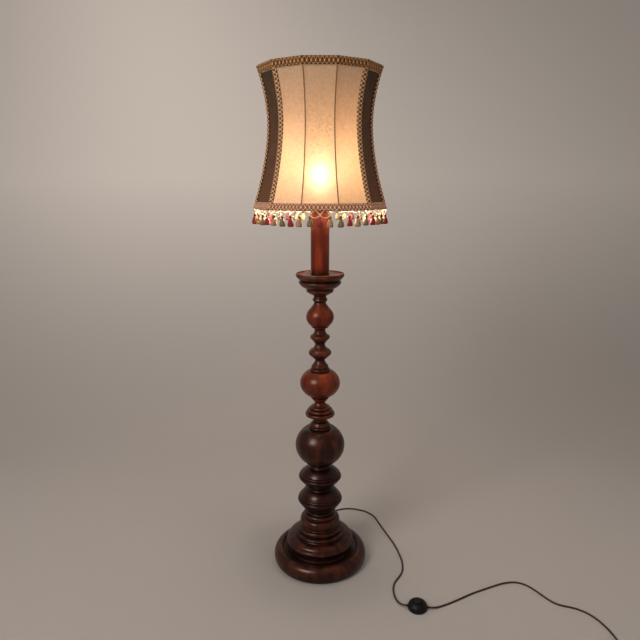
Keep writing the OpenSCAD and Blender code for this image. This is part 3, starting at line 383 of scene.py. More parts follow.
paper, tree, shader, place = new_material("warm_grey_paper", roughness=0.9)
# Painted light: the paper is darker on the floor and lighter up the wall, a painted fall of the
# lamps' light.
up = add(tree, "SeparateXYZ", [place]).outputs["Z"]
risen = add(tree, "MapRange", [up, 0, 1.4])
paper_painted_lighter_up = add(tree, "Mix", [risen, "#8f8985", "#c4beb9"], data_type="RGBA")
give(tree, shader, {"Base Color": paper_painted_lighter_up})
away = add(tree, "VectorMath", [place, melt_centre], "DISTANCE")
far = add(tree, "MapRange", [away.outputs["Value"], melt_start, melt_end])
air = add(tree, "Emission", {"Color": air_colour, "Strength": air_strength})
melting = add(tree, "MixShader", [far, shader, air])
behind = add(tree, "NewGeometry").outputs["Backfacing"]
one_sided = add(tree, "MixShader", [behind, melting, add(tree, "BsdfTransparent")])
give(tree, tree.nodes["Material Output"], {"Surface": one_sided})

outline = [(sweep_front, 0)]
for i in range(bend_steps + 1):
    angle = math.pi / 2 * i / bend_steps
    outline.append((sweep_bend + sweep_radius * math.sin(angle),
                    sweep_radius * (1 - math.cos(angle))))
outline.append((sweep_bend + sweep_radius, sweep_top))
corners = [(x, y, z) for y, z in outline for x in (-sweep_half_width, sweep_half_width)]
quads = [(2 * i, 2 * i + 1, 2 * i + 3, 2 * i + 2) for i in range(len(outline) - 1)]
sweep_mesh = bpy.data.meshes.new("paper_sweep")
sweep_mesh.from_pydata(corners, [], quads)
sweep_mesh.shade_smooth()
sweep_mesh.materials.append(paper)
stand("paper_sweep", sweep_mesh)
print("sweep:", len(quads), "faces")

# %% Studio lamps


def soft_lamp(name, place, target, size, watts, colour, mirrored=False):
    """A square area lamp at place that points at target, and shows in gloss if it is mirrored."""
    data = bpy.data.lights.new(name, "AREA")
    data.size = size
    data.energy = watts
    data.color = linear(colour)[:3]
    lamp = stand(name, data)
    lamp.location = place
    lamp.visible_camera = False
    lamp.visible_glossy = mirrored
    lamp.rotation_euler = (Vector(target) - Vector(place)).to_track_quat("-Z", "Y").to_euler()


column_middle = (0, 0, 0.8)
soft_lamp("key_lamp", (-1.9, -2.2, 2.6), column_middle, 1.5, 84, "#fffaf4", mirrored=True)
soft_lamp("fill_lamp", (2.4, -1.6, 1.8), column_middle, 1.8, 22, "#fff6ee")
soft_lamp("top_lamp", (0.2, 0.6, 3.6), column_middle, 2.4, 32, "#fff6ee")
soft_lamp("paper_lamp", (-1.5, 1.5, 3.2), (-1.6, 3.6, 1.3), 1.2, 24, "#fff4ec")

world = bpy.data.worlds.new("studio_air")
scene.world = world
world.use_nodes = True
give(world.node_tree, world.node_tree.nodes["Background"],
     {"Color": air_colour, "Strength": air_strength})
scene.view_settings.view_transform = "Standard"

# %% [markdown]
# ## Turned wood
# Every piece of the column was turned on a lathe from stained beech, sanded and varnished. The
# solids already have the outlines, so each one is copied, its loose triangles are joined, its
# sharp edges are rounded a little as varnish and sandpaper leave them, and it is smooth-shaded.

# %% Copy a solid and soften its edges


def finished(node, material, edge_mm, sharp=28, bore_r=0):
    """A smooth copy of a solid, with rounded edges outside bore_r, that stands for the solid."""
    source = frame["nodes"][node]
    work = bmesh.new()
    work.from_mesh(source.data)
    bmesh.ops.remove_doubles(work, verts=work.verts, dist=mm(0.002))
    bmesh.ops.dissolve_degenerate(work, edges=work.edges, dist=mm(0.005))
    bmesh.ops.dissolve_limit(work, angle_limit=math.radians(0.4), verts=work.verts,
                             edges=work.edges)
    edges = [e for e in work.edges if len(e.link_faces) == 2
             and e.calc_face_angle() > math.radians(sharp)
             and min(math.hypot(v.co.x, v.co.y) for v in e.verts) > bore_r]
    bmesh.ops.bevel(work, geom=edges, offset=mm(edge_mm), segments=2, profile=0.5,
                    affect="EDGES", clamp_overlap=True)
    mesh = bpy.data.meshes.new(node + "_finished")
    work.to_mesh(mesh)
    work.free()
    mesh.shade_smooth()
    mesh.set_sharp_from_angle(angle=math.radians(sharp))
    mesh.materials.append(material)
    return stand(node + "_piece", mesh, source["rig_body"], source.data.materials[0].name, [node])


# %% [markdown]
# Beech has a fine straight grain along the turning's axis. Where a ball or a bead cuts through
# the year rings, these show as long bows. The stain is so dark that both are only just seen, and
# the light pieces look redder where the stain was wiped thinner. The grooves are darkened nearly
# to black with painted shade, worked out from how closely the surfaces around each point hem it
# in.
# The varnish is a thin clear coat with soft highlights.
# The pores are drawn 0.9 mm wide, wider than real ones, so that they show.

# %% Stained and varnished beech


pith = (0.055, 0.03, 0)  # how far the tree's middle is from the lathe's axis
wander_depth = (0.014, 0.014, 0.014)
painted_groove_shade = "#050201"
groove_reach = mm(32)


def stained_beech(name, shadow, middle, light):
    """Stained beech under varnish, in three tones of one stain, with painted shade in the grooves.
    """
    material, tree, shader, place = new_material(
        name, ior=1.5, specular_ior_level=0.2, specular_tint="#ff9670",
        coat_weight=0.36, coat_roughness=0.24)
    off_centre = add(tree, "VectorMath", [place, pith], "ADD")
    drawn_out = add(tree, "VectorMath", [place, (1, 1, 0.25)], "MULTIPLY")
    wander = add(tree, "TexNoise", {"Vector": drawn_out, "Scale": 1 / mm(60)})
    wavy = add(tree, "VectorMath", [wander.outputs["Color"], wander_depth, off_centre],
               "MULTIPLY_ADD")
    year_rings = add(tree, "TexWave", {
        "Vector": wavy, "Scale": 1 / mm(20), "Distortion": 1.2, "Detail": 2, "Detail Scale": 1.5},
        wave_type="RINGS", rings_direction="Z")
    late_wood = add(tree, "MapRange", [year_rings.outputs["Fac"], 0.1, 0.9, 0, 0.35])
    ringed = add(tree, "Mix", [late_wood, middle, shadow], data_type="RGBA")
    patches = add(tree, "TexNoise", {"Vector": drawn_out, "Scale": 1 / mm(26), "Detail": 3})
    wiped = add(tree, "MapRange", [patches, 0.42, 0.64, 0, 0.85])
    worn = add(tree, "Mix", [wiped, ringed, light], data_type="RGBA")
    lengthwise = add(tree, "VectorMath", [place, (1, 1, 1 / 14)], "MULTIPLY")
    pores = add(tree, "TexNoise", {"Vector": lengthwise, "Scale": 1 / mm(0.9)})
    porous = add(tree, "MapRange", [pores, 0.52, 0.7, 0, 0.55])
    grained = add(tree, "Mix", [porous, worn, shadow], data_type="RGBA")
    # Painted shade: grooves and gaps between pieces are darkened towards near-black by how
    # enclosed each point is.
    open_air = add(tree, "AmbientOcclusion", {"Distance": groove_reach}, samples=8)
    groove_shade_share = add(tree, "MapRange", [open_air.outputs["AO"], 0.5, 0.95, 0.95, 0])
    colour = add(tree, "Mix", [groove_shade_share, grained, painted_groove_shade], data_type="RGBA")
    dull = add(tree, "MapRange", [pores, 0.4, 0.7, 0.38, 0.52])
    relief = add(tree, "Bump", {"Height": pores, "Distance": mm(0.06)})
    give(tree, shader, {"Base Color": colour, "Roughness": dull, "Normal": relief})
    return material


black_beech = stained_beech("black_stained_beech", "#050101", "#140604", "#2a0f08")
dark_beech = stained_beech("dark_stained_beech", "#0a0302", "#1d0a06", "#421d10")
brown_beech = stained_beech("brown_stained_beech", "#190804", "#36150c", "#582817")
red_beech = stained_beech("red_stained_beech", "#240b05", "#4a180a", "#702c13")

# %% Turn the column's pieces into finished wood
turnings = {
    black_beech: ["lower_disc", "upper_disc"],
    dark_beech: ["base_ring", "base_foot", "pedestal", "big_ball"],
    brown_beech: ["big_ball_collar", "ringed_disc", "middle_ball_collar", "lower_spool",
                  "upper_spool", "neck_ring", "bobeche_cup", "bobeche_dish", "sleeve_cap"],
    red_beech: ["middle_ball", "upper_ball", "candle_sleeve"],
}
bore_edge_r = mm(14)
for wood, names in turnings.items():
    for name in names:
        finished(name, wood, edge_mm=0.6, bore_r=bore_edge_r)
print("turnings:", sum(len(names) for names in turnings.values()))

# %% [markdown]
# ## Hardware, lampholder, switch and plug
# The lampholder is moulded in black phenolic, a hard resin that keeps the mould's gloss. The
# foot switch and the plug are ABS, with a finely sparked face that spreads the highlight.
# Moulded parts have no sharp edges, so they get the same softening as the wood.

# %% Moulded black plastics
phenolic = cloudy("black_phenolic", ("#0a0909", "#151312"), 14, (0.24, 0.38), 0.8, 0.015, ior=1.55)
black_abs = cloudy("black_abs", ("#060505", "#110f0e"), 25, (0.4, 0.55), 0.7, 0.05,
                   specular_ior_level=0.2)
moulded = {"holder_cap": phenolic, "holder_shell": phenolic, "shade_clamp_ring": phenolic,
           "switch_base": black_abs, "switch_cover": black_abs, "switch_button": black_abs,
           "plug_body": black_abs, "cord_gland": black_abs}
moulding = {name: finished(name, plastic, edge_mm=0.4) for name, plastic in moulded.items()}
print("mouldings:", len(moulded))

# %% [markdown]
# The tube, nuts and washers are zinc-plated steel, grey with a soft spangle. The shade's frame
# is galvanised wire, duller and slightly yellow from the bulb's heat. The bulb's cap, the plug's
# pins and the switch's contacts are pressed brass with brown tarnish. The ballast is cast iron
# under grey paint, rough from the sand mould, and the lampholder's insert is glazed porcelain.

# %% Metals, porcelain and the inner flex
plated_steel = cloudy("zinc_plated_steel", ("#8f9092", "#b4b3b0"), 3, (0.28, 0.46), 1.0, 0.01,
                      metallic=1)
wire = cloudy("galvanised_wire", ("#9c968c", "#c2bcb0"), 5, (0.35, 0.5), 1.5, 0.03, metallic=1)
pressed_brass = cloudy("pressed_brass", ("#c9a256", "#9a7438"), 6, (0.22, 0.42), 1.2, 0.01,
                       metallic=1)
cast_iron = cloudy("painted_cast_iron", ("#2b2b2c", "#454444"), 8, (0.5, 0.7), 1.2, 0.3)
porcelain = cloudy("glazed_porcelain", ("#e8e4da", "#f4f1ea"), 8, (0.1, 0.2), 4, 0.02,
                   coat_weight=0.5)
kept = {
    plated_steel: ["lamp_tube", "tube_nuts", "tube_washers"],
    pressed_brass: ["switch_contacts", "plug_pins", "bulb_cap"],
    wire: ["shade_ribs", "shade_rings", "shade_spider"],
    cast_iron: ["ballast_disc"],
    porcelain: ["holder_insert"],
    flex_pvc: ["inner_flex"],
}
for material, names in kept.items():
    for name in names:
        frame["nodes"][name].material_slots[0].material = material
print("solids kept:", sum(len(names) for names in kept.values()))

# %% [markdown]
# The switch's spring is pressed together when the button goes down. A copy of it is made here
# with a mesh of its own.

# %% Spring with a mesh of its own
spring = finished("switch_spring", plated_steel, edge_mm=0.01, sharp=80)
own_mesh(spring)

# %% [markdown]
# ## The bulb
# A small pearl bulb stands upright in the holder. The pearl finish is an etched inner face, so
# the whole glass glows evenly. The parchment lets part of this light straight through, blurred,
# and that is the white spot on the shade: it moves with the eye, as the real one does.

# %% Pearl glass that glows
bulb_glow = 580
pearl = cloudy("pearl_bulb_glass", ("#f6efe2", "#fffaf0"), 12, (0.3, 0.4), 1.0, 0.01,
               emission_color="#fff0dc", emission_strength=bulb_glow)
frame["nodes"]["bulb_glass"].material_slots[0].material = pearl
bulb_low, bulb_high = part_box("bulb_glass")
bulb_centre = Vector((0, 0, bulb_high.z - (bulb_high.x - bulb_low.x) / 2))
print("bulb centre:", [round(v, 4) for v in bulb_centre])

# %% [markdown]
# ## The shade's surface
# The frame of wire is waisted, and each of its twelve sides is flat across and curved from top
# to bottom. Nine sides hold parchment and three hold dark cloth. A panel follows one curve, the
# radius of the shade's corners at a height, and everything that is sewn or glued on it follows
# the same curve.

# %% Curve of the shade
side_count = 12
corner_top_r = mm(193)
corner_waist_r = mm(162)
corner_bottom_r = mm(213)
waist_height = mm(255)
power_up = 1.9
power_down = 1.75
panel_t = mm(1)
seam_gap = mm(0.2)
half_side = math.pi / side_count
shade_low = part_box("rim_braids")[0].z
shade_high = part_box("rim_braids")[1].z
shade_height = shade_high - shade_low
shade_body = frame["nodes"]["shade_ribs"]["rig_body"]


def corner_r(height):
    """Radius of the shade's corners at a height above its bottom edge."""
    if height < waist_height:
        part = (waist_height - height) / waist_height
        return corner_waist_r + (corner_bottom_r - corner_waist_r) * part ** power_down
    part = (height - waist_height) / (shade_height - waist_height)
    return corner_waist_r + (corner_top_r - corner_waist_r) * part ** power_up


def side_angle(side):
    """Angle of a side's middle. Side 0 faces the camera."""
    return -math.pi / 2 + side * math.tau / side_count


print("shade:", round(shade_height * 1000), "mm high, waist", round(waist_height * 1000), "mm up")

# %% Make one panel
panel_rows = 42
panel_columns = 8


def panel(name, side, material, slot, replaced):
    """A closed sheet across one side, with UVs in metres along the sheet."""
    along = side_angle(side)
    out = Vector((math.cos(along), math.sin(along), 0))
    across = Vector((-math.sin(along), math.cos(along), 0))
    columns = range(panel_columns + 1)
    rings, flat = [], []
    run = 0
    for i in range(panel_rows + 1):
        h = shade_height * i / panel_rows
        r = corner_r(h)
        if i:
            run += math.hypot(shade_height / panel_rows,
                              r - corner_r(shade_height * (i - 1) / panel_rows))
        rings.append([])
        for inset, steps in ((0, columns), (panel_t, reversed(columns))):
            half_width = (r - inset) * math.sin(half_side) - seam_gap / 2
            for k in steps:
                x = half_width * (2 * k / panel_columns - 1)
                spot = out * (r * math.cos(half_side) - inset) + across * x
                rings[-1].append((spot.x, spot.y, shade_low + h))
                flat.append((x, run))
    mesh = skin(name, [rings])
    uv = mesh.uv_layers.new(name="cloth")
    for loop in mesh.loops:
        uv.data[loop.index].uv = flat[loop.vertex_index]
    mesh.shade_smooth()
    mesh.set_sharp_from_angle(angle=math.radians(35))
    mesh.materials.append(material)
    piece = stand(name, mesh, shade_body, slot, [replaced])
    return piece, run, sum(face.area for face in mesh.polygons) / 2


# %% [markdown]
# Parchment for shades is a stiff card with a mottled, oiled look, satin and a little clear. The
# bulb's light through it is painted on as a glow, strongest where the panel is nearest to the
# bulb, and turning from cream there to a warm tan near the top. This painted glow is worked out
# from the distance between each point of the panel and the bulb, so it looks the same from
# everywhere. Clouds 22 mm wide are the skin's uneven thickness, with a mottle of 7 mm in it, and
# fibres of 2.5 mm give the satin face its relief. A patch of the front panel is creased, from
# handling, and swirls of 9 mm let more and less of the painted glow through there.

# %% Glowing parchment
parchment, tree, shader, place = new_material(
    "oiled_parchment", ior=1.45, transmission_weight=0.35, specular_ior_level=0.3)
mottle = add(tree, "TexNoise", {
    "Vector": place, "Scale": 1 / mm(7), "Detail": 5, "Distortion": 0.3})
hide = add(tree, "TexNoise", {
    "Vector": place, "Scale": 1 / mm(22), "Detail": 4, "Distortion": 0.8})
fibres = add(tree, "TexNoise", {"Vector": place, "Scale": 1 / mm(2.5), "Detail": 3})
blotches = add(tree, "MapRange", [mottle, 0.3, 0.7])
card = add(tree, "Mix", [blotches, "#b29478", "#c5a98b"], data_type="RGBA")

# Painted light: the emission stands for the bulb's light through the card, strongest nearest the
# bulb.
apart = add(tree, "VectorMath", [place, bulb_centre], "DISTANCE")
share = add(tree, "Math", [corner_waist_r, apart.outputs["Value"]], "DIVIDE")
fall_power = 3.6
fall = add(tree, "Math", [share, fall_power], "POWER")
thickness = add(tree, "MapRange", [hide, 0.3, 0.7, 0.62, 0.74])
dappled = add(tree, "MapRange", [mottle, 0.3, 0.7, 0.92, 1.0])
passed = add(tree, "Math", [fall, thickness], "MULTIPLY")
mottled = add(tree, "Math", [passed, dappled], "MULTIPLY")

shallow = add(tree, "VectorMath", [place, (1, 1, 0.4)], "MULTIPLY")
patch_middle = (0, -0.16, 0.605)
patch_inner_r, patch_outer_r = mm(30), mm(52)
off_patch = add(tree, "VectorMath", [shallow, patch_middle], "DISTANCE")
creased = add(tree, "MapRange", [off_patch.outputs["Value"], patch_inner_r, patch_outer_r, 1, 0])
swirls = add(tree, "TexNoise", {
    "Vector": place, "Scale": 1 / mm(9), "Detail": 4, "Distortion": 2.5})
bright = add(tree, "MapRange", [swirls, 0.35, 0.65, 0.6, 1.5])
gain = add(tree, "Mix", [creased, 1, bright])
glow = add(tree, "Math", [mottled, gain], "MULTIPLY")
near = add(tree, "MapRange", [fall, 0.1, 0.9])
painted_glow_tint = add(tree, "Mix", [near, "#ffae66", "#ffd28c"], data_type="RGBA")
satin = add(tree, "MapRange", [fibres, 0.3, 0.7, 0.37, 0.45])
relief = add(tree, "Bump", {"Height": fibres, "Distance": mm(0.12)})
give(tree, shader, {"Base Color": card, "Emission Color": painted_glow_tint, "Emission Strength": glow,
                    "Roughness": satin, "Normal": relief})

# %% [markdown]
# The dark sides are a brown woven silk over a card. The threads run up and across, about two to
# the millimetre, which would not show, so they are drawn a little under a millimetre wide. The
# cloth is drawn a redder brown towards the bottom and a darker one towards the top, and slubs
# cloud it.

# %% Dark woven silk
silk, tree, shader, place = new_material(
    "dark_woven_silk", roughness=0.75, sheen_weight=0.05, sheen_roughness=0.4,
    specular_ior_level=0.2)
flat_place = add(tree, "UVMap", uv_map="cloth")
thread_mm = 0.9
stripes_a_unit = 6.4  # light and dark ones, in one unit of a Wave texture's scale
thread_scale = 1 / mm(thread_mm * stripes_a_unit)
threads = {"Vector": flat_place, "Scale": thread_scale}
warp = add(tree, "TexWave", threads, wave_type="BANDS", bands_direction="X").outputs["Fac"]
weft = add(tree, "TexWave", threads, wave_type="BANDS", bands_direction="Y").outputs["Fac"]
weave = add(tree, "Math", [warp, weft], "MULTIPLY")
up = add(tree, "SeparateXYZ", [place]).outputs["Z"]
risen = add(tree, "MapRange", [up, shade_low, shade_high])
redder_downwards = add(tree, "Mix", [risen, "#6e4029", "#3a2c1b"], data_type="RGBA")
slubs = add(tree, "TexNoise", {"Vector": place, "Scale": 1 / mm(30), "Detail": 3})
slubbed = add(tree, "MapRange", [slubs, 0.35, 0.68, 0, 0.35])
cloth = add(tree, "Mix", [slubbed, redder_downwards, "#785438"], data_type="RGBA")
gaps = add(tree, "MapRange", [weave, 0, 1, 0.5, 0])
give(tree, shader, {
    "Base Color": add(tree, "Mix", [gaps, cloth, "#22180f"], data_type="RGBA"),
    "Normal": add(tree, "Bump", {"Height": weave, "Distance": mm(0.25)})})

# %% Hang the panels
cloth_sides = [2, 6, 10]
card_count = 0
for side in range(side_count):
    if side in cloth_sides:
        number = cloth_sides.index(side) + 1
        piece, height, area = panel(f"silk_side_{number}", side, silk, "brown_fabric",
                                    f"fabric_panel_{number}")
        width = 2 * corner_bottom_r * math.sin(half_side)
    else:
        card_count += 1
        panel(f"parchment_side_{card_count}", side, parchment, "parchment",
              f"parchment_panel_{card_count}")
print("panels:", card_count, "of parchment,", len(cloth_sides), "of silk, each",
      round(height * 1000), "mm along its curve")

# %% [markdown]
# ## Braids
# The rims and the ribs beside the silk are covered by gimp, a flat braid of six cords about two
# centimetres wide. In a flat plait each cord swings from edge to edge, and the cords pass over
# and under each other in turn. Both moves are sine curves along the braid, so Geometry Nodes can
# bend copies of one path: a copy's place across is a sine, and its height a faster one.

# %% Node tree of a plait


def plait_tree(name, material):
    """A Geometry Nodes tree that plaits cords along a path."""
    tree, given = new_group(name, {
        "Path": "Geometry", "Cords": "Int", "Swings": "Int", "Points": "Int", "Width": "Float",
        "Cord radius": "Float", "Lift": "Float", "Fold": "Float", "Lean": "Float"}, "Plait")
    even = add(tree, "GeometryNodeResampleCurve", {
        "Curve": given["Path"], "Count": given["Points"]})
    copies = add(tree, "GeometryNodeDuplicateElements", {
        "Geometry": even, "Amount": given["Cords"]}, domain="SPLINE")
    number = copies.outputs["Duplicate Index"]
    along = add(tree, "GeometryNodeSplineParameter").outputs["Factor"]

    # Across the braid: one sine, started a little later on each cord.
    start = add(tree, "Math", [number, given["Cords"]], "DIVIDE")
    turn = add(tree, "Math", [along, given["Swings"], start], "MULTIPLY_ADD")
    phase = add(tree, "Math", [turn, math.tau], "MULTIPLY")
    swing = add(tree, "Math", [phase], "SINE")
    half = add(tree, "Math", [given["Width"], 0.5], "MULTIPLY")
    reach = add(tree, "Math", [half, given["Cord radius"]], "SUBTRACT")
    across = add(tree, "Math", [swing, reach], "MULTIPLY")

    # Over and under: a faster sine, and a fold where the braid lies over a corner.
    crossings = add(tree, "Math", [given["Cords"], 1], "SUBTRACT")
    faster = add(tree, "Math", [phase, crossings], "MULTIPLY")
    wave = add(tree, "Math", [faster], "SINE")
    hop = add(tree, "Math", [given["Cord radius"], 0.55], "MULTIPLY")
    over = add(tree, "Math", [wave, hop, given["Lift"]], "MULTIPLY_ADD")
    away = add(tree, "Math", [across], "ABSOLUTE")
    fold = add(tree, "Math", [away, given["Fold"]], "MULTIPLY")
    height = add(tree, "Math", [over, fold], "SUBTRACT")

    # The two directions: away from the shade's axis, square to the path, and sideways.
    split = add(tree, "SeparateXYZ", [add(tree, "GeometryNodeInputPosition")])
    level = add(tree, "CombineXYZ", [split.outputs[0], split.outputs[1]])
    tangent = add(tree, "GeometryNodeInputTangent").outputs[0]
    radial = add(tree, "VectorMath", [level], "NORMALIZE")
    slant = add(tree, "VectorMath", [radial, tangent], "DOT_PRODUCT")
    slide = add(tree, "VectorMath", [tangent, slant.outputs["Value"]], "SCALE")
    square = add(tree, "VectorMath", [radial, slide], "SUBTRACT")
    outward = add(tree, "VectorMath", [square], "NORMALIZE")
    leaned = add(tree, "VectorRotate", {
        "Vector": outward, "Axis": tangent, "Angle": given["Lean"]}, rotation_type="AXIS_ANGLE")
    sideways = add(tree, "VectorMath", [tangent, leaned], "CROSS_PRODUCT")
    step_across = add(tree, "VectorMath", [sideways, across], "SCALE")
    step_out = add(tree, "VectorMath", [leaned, height], "SCALE")
    offset = add(tree, "VectorMath", [step_across, step_out], "ADD")

    # Cords of the right thickness, each with its number.
    moved = add(tree, "GeometryNodeSetPosition", {"Geometry": copies, "Offset": offset})
    marked = add(tree, "GeometryNodeStoreNamedAttribute", {
        "Geometry": moved, "Name": "cord", "Value": number}, data_type="FLOAT", domain="POINT")
    ring = add(tree, "GeometryNodeCurvePrimitiveCircle", {
        "Resolution": 6, "Radius": given["Cord radius"]})
    tube = add(tree, "GeometryNodeCurveToMesh", {
        "Curve": marked, "Profile Curve": ring, "Fill Caps": True})
    real = add(tree, "GeometryNodeRealizeInstances", [tube])
    smooth = add(tree, "GeometryNodeSetShadeSmooth", {"Geometry": real})
    done = add(tree, "GeometryNodeSetMaterial", {"Geometry": smooth, "Material": material})
    add(tree, "NodeGroupOutput", {"Plait": done})
    return tree


# %% Run a tree and keep its mesh


def grown(name, source, tree, values, slot, replaced=()):
    """Runs a Geometry Nodes tree on an object once and keeps the result as a plain mesh."""
    modifier = source.modifiers.new(tree.name, "NODES")
    modifier.node_group = tree
    for item in tree.interface.items_tree:
        if item.in_out == "INPUT" and item.name in values:
            modifier[item.identifier] = values[item.name]
    bpy.context.view_layer.update()
    done = source.evaluated_get(bpy.context.evaluated_depsgraph_get())
    mesh = bpy.data.meshes.new_from_object(done)
    bpy.data.objects.remove(source)
    mesh.name = name
    print(name + ":", len(mesh.polygons), "faces")
    return stand(name, mesh, shade_body, slot, replaced)


def plaited(name, paths, closed, yarn, values, slot, replaced=()):
    """Cords of a yarn, plaited along the paths. Values that aren't given are 0."""
    return grown(name, lines("path", paths, closed), plait_tree(name + "_plait", yarn), values,
                 slot, replaced)


# %% [markdown]
# The cords are rayon, a shiny yarn, dusty and faded by now. Light and dark cords are mixed: cream
# with brown on the ribs, straw with coffee at the top, and cream with rose at the bottom. Each
# cord carries its number, which the material reads to choose the yarn's colour. The twist of the
# yarn is drawn 1.4 mm wide, so that it shows.

# %% Rayon yarns of the braids


def rayon_braid(name, colours):
    """Rayon cords in the given colours, chosen by the cord's number."""
    material, tree, shader, place = new_material(name, roughness=0.7, specular_ior_level=0.2)
    number = add(tree, "Attribute", attribute_name="cord").outputs["Fac"]
    yarn = colours[0]
    for i, tone in enumerate(colours[1:]):
        later = add(tree, "Math", [number, i + 0.5], "GREATER_THAN")
        yarn = add(tree, "Mix", [later, yarn, tone], data_type="RGBA")
    twist = add(tree, "TexNoise", {"Vector": place, "Scale": 1 / mm(1.4)})
    between = add(tree, "MapRange", [twist, 0.35, 0.7, 0.35, 0])
    shaded = add(tree, "Mix", [between, yarn, "#2c1306"], data_type="RGBA")
    dust = add(tree, "TexNoise", {"Vector": place, "Scale": 1 / mm(35), "Detail": 3})
    dusty = add(tree, "MapRange", [dust, 0.4, 0.75, 0, 0.2])
    give(tree, shader, {
        "Base Color": add(tree, "Mix", [dusty, shaded, "#a8794a"], data_type="RGBA"),
        "Normal": add(tree, "Bump", {"Height": twist, "Distance": mm(0.3)})})
    return material


cream, straw, brown, dark, coffee = "#eccda4", "#c69d6c", "#7c451c", "#4f270c", "#3a1b0a"
rib_gimp = rayon_braid("cream_and_brown_gimp", [cream, brown, brown, cream, dark, brown])
top_gimp = rayon_braid("brown_gimp", [straw, coffee, brown, straw, coffee, brown])
bottom_gimp = rayon_braid("rose_and_beige_gimp", ["#f6ceb2", "#a85c44", "#85503a",
                                                  cream, "#a85c48", "#8a5030"])

# %% Path along a rib and round a rim
rib_braid_w = mm(20)
top_braid_h = mm(22)
bottom_braid_h = mm(19.5)
braid_rib_numbers = [2, 3, 6, 7, 10, 11]


def rib_line(rib, low, high, off, steps=30):
    """Points along a rib, off outside the shade's corner."""
    angle = side_angle(rib) - half_side
    line = []
    for i in range(steps + 1):
        h = low + (high - low) * i / steps
        r = corner_r(h) + off
        line.append((r * math.cos(angle), r * math.sin(angle), shade_low + h))
    return line


def rim_line(height, off):
    """The corners of the shade at a height, pushed out by off."""
    r = corner_r(height) + off / math.cos(half_side)
    return [(r * math.cos(side_angle(i) + half_side), r * math.sin(side_angle(i) + half_side),
             shade_low + height) for i in range(side_count)]


def slope_at(height):
    """How far the panel leans outwards at a height, as an angle from upright."""
    step = mm(1)
    return math.atan((corner_r(height + step) - corner_r(height - step)) / (2 * step))


# %% Plait the braids
rib_low, rib_high = bottom_braid_h, shade_height - top_braid_h
rib_fold = math.tan(half_side)
rib_paths = [rib_line(rib, rib_low, rib_high, 0) for rib in braid_rib_numbers]
plaited("rib_gimp", rib_paths, False, rib_gimp, {
    "Cords": 6, "Swings": 16, "Points": 450, "Width": rib_braid_w * 0.95,
    "Cord radius": mm(1.8), "Lift": mm(2.4), "Fold": rib_fold}, "braid", ["rib_braids"])

for name, yarn, middle, width, swings, points, cord_mm, lift_mm in (
        ("top_gimp", top_gimp, shade_height - top_braid_h / 2, top_braid_h, 48, 1632, 1.8, 2.4),
        ("bottom_gimp", bottom_gimp, bottom_braid_h / 2, bottom_braid_h, 54, 1728, 1.6, 2.2)):
    plaited(name, [rim_line(middle, 0)], True, yarn, {
        "Cords": 6, "Swings": swings, "Points": points, "Width": width * 0.97,
        "Cord radius": mm(cord_mm), "Lift": mm(lift_mm), "Lean": slope_at(middle)},
        "braid", ["rim_braids"])

# %% [markdown]
# ## Backing of the braids, and the seams
# Under a plait lies a thin tape, so that no light comes between the cords. On the other ribs the
# panels meet under a narrow dark cord. Tapes and cords follow the same paths.

# %% Tapes and seam cords
# The tape is a cotton twill, dull, with a fine slanting rib that darkens it here and there.
cotton_tape = cloudy("brown_cotton_tape", ("#3b1d0c", "#5a3318"), 4, (0.8, 0.9), 1.2, 0.2)

tape_t = mm(0.7)
tape_off = mm(0.1)
tape_reach = rib_braid_w * 0.4


def tape(name, bodies, joined):
    """Tapes of the braids' backing, one over each list of rings."""
    mesh = skin(name, bodies, joined)
    mesh.materials.append(cotton_tape)
    stand(name, mesh, shade_body, "braid")


def rim_tape(name, low, high):
    """A tape round the shade between two heights."""
    edges = [rim_line(low, tape_off), rim_line(high, tape_off),
             rim_line(high, tape_off + tape_t), rim_line(low, tape_off + tape_t)]
    tape(name, [list(zip(*edges))], True)


def folded(rib, side, off):
    """Points along a rib at the edge of its tape: side is -1, 0 or 1."""
    angle = side_angle(rib) - half_side
    across = Vector((-math.sin(angle), math.cos(angle), 0)) * side * tape_reach
    drop = tape_reach * rib_fold * abs(side)
    return [Vector(p) + across - Vector((math.cos(angle), math.sin(angle), 0)) * drop
            for p in rib_line(rib, rib_low, rib_high, off / math.cos(half_side))]


rim_tape("top_tape", rib_high, shade_height - mm(0.5))
rim_tape("bottom_tape", mm(0.5), rib_low)
halves = [list(zip(folded(rib, left, tape_off + tape_t), folded(rib, right, tape_off + tape_t),
                   folded(rib, right, tape_off), folded(rib, left, tape_off)))
          for rib in braid_rib_numbers for left, right in ((-1, 0), (0, 1))]
tape("rib_tape", halves, False)

plain_ribs = [rib for rib in range(side_count) if rib not in braid_rib_numbers]
# The seam cord is a waxed twist, a little glossy on the crest of each strand.
seam_yarn = cloudy("brown_seam_cord", ("#5e3d20", "#8a6238"), 3, (0.6, 0.75), 1.5, 0.2)
seam_paths = [rib_line(rib, rib_low, rib_high, 0) for rib in plain_ribs]
plaited("seam_cords", seam_paths, False, seam_yarn, {
    "Cords": 2, "Swings": 50, "Points": 700, "Width": mm(3.6), "Cord radius": mm(0.95),
    "Lift": mm(0.9), "Fold": rib_fold}, "dark_tape", ["seam_tapes"])

# %% [markdown]
# ## The fringe
# Two cream cords hang in scallops from the lower braid and cross at every tassel. Their height
# is a sine round the shade, and the second cord is the first one turned by one tassel. Each
# tassel is a bundle of rayon threads tied at the neck: a small wrapped head, and a skirt that
# opens like a bell. One tassel is modelled, and Geometry Nodes set copies of it round the shade
# in three colours in turn, counted from the front.

# %% Model one tassel
tassel_count = 44
tassel_h = mm(32)
skirt_r = mm(10.0)
fringe_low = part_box("fringe")[0].z
knot_z = fringe_low + tassel_h
net_drop = shade_low - knot_z

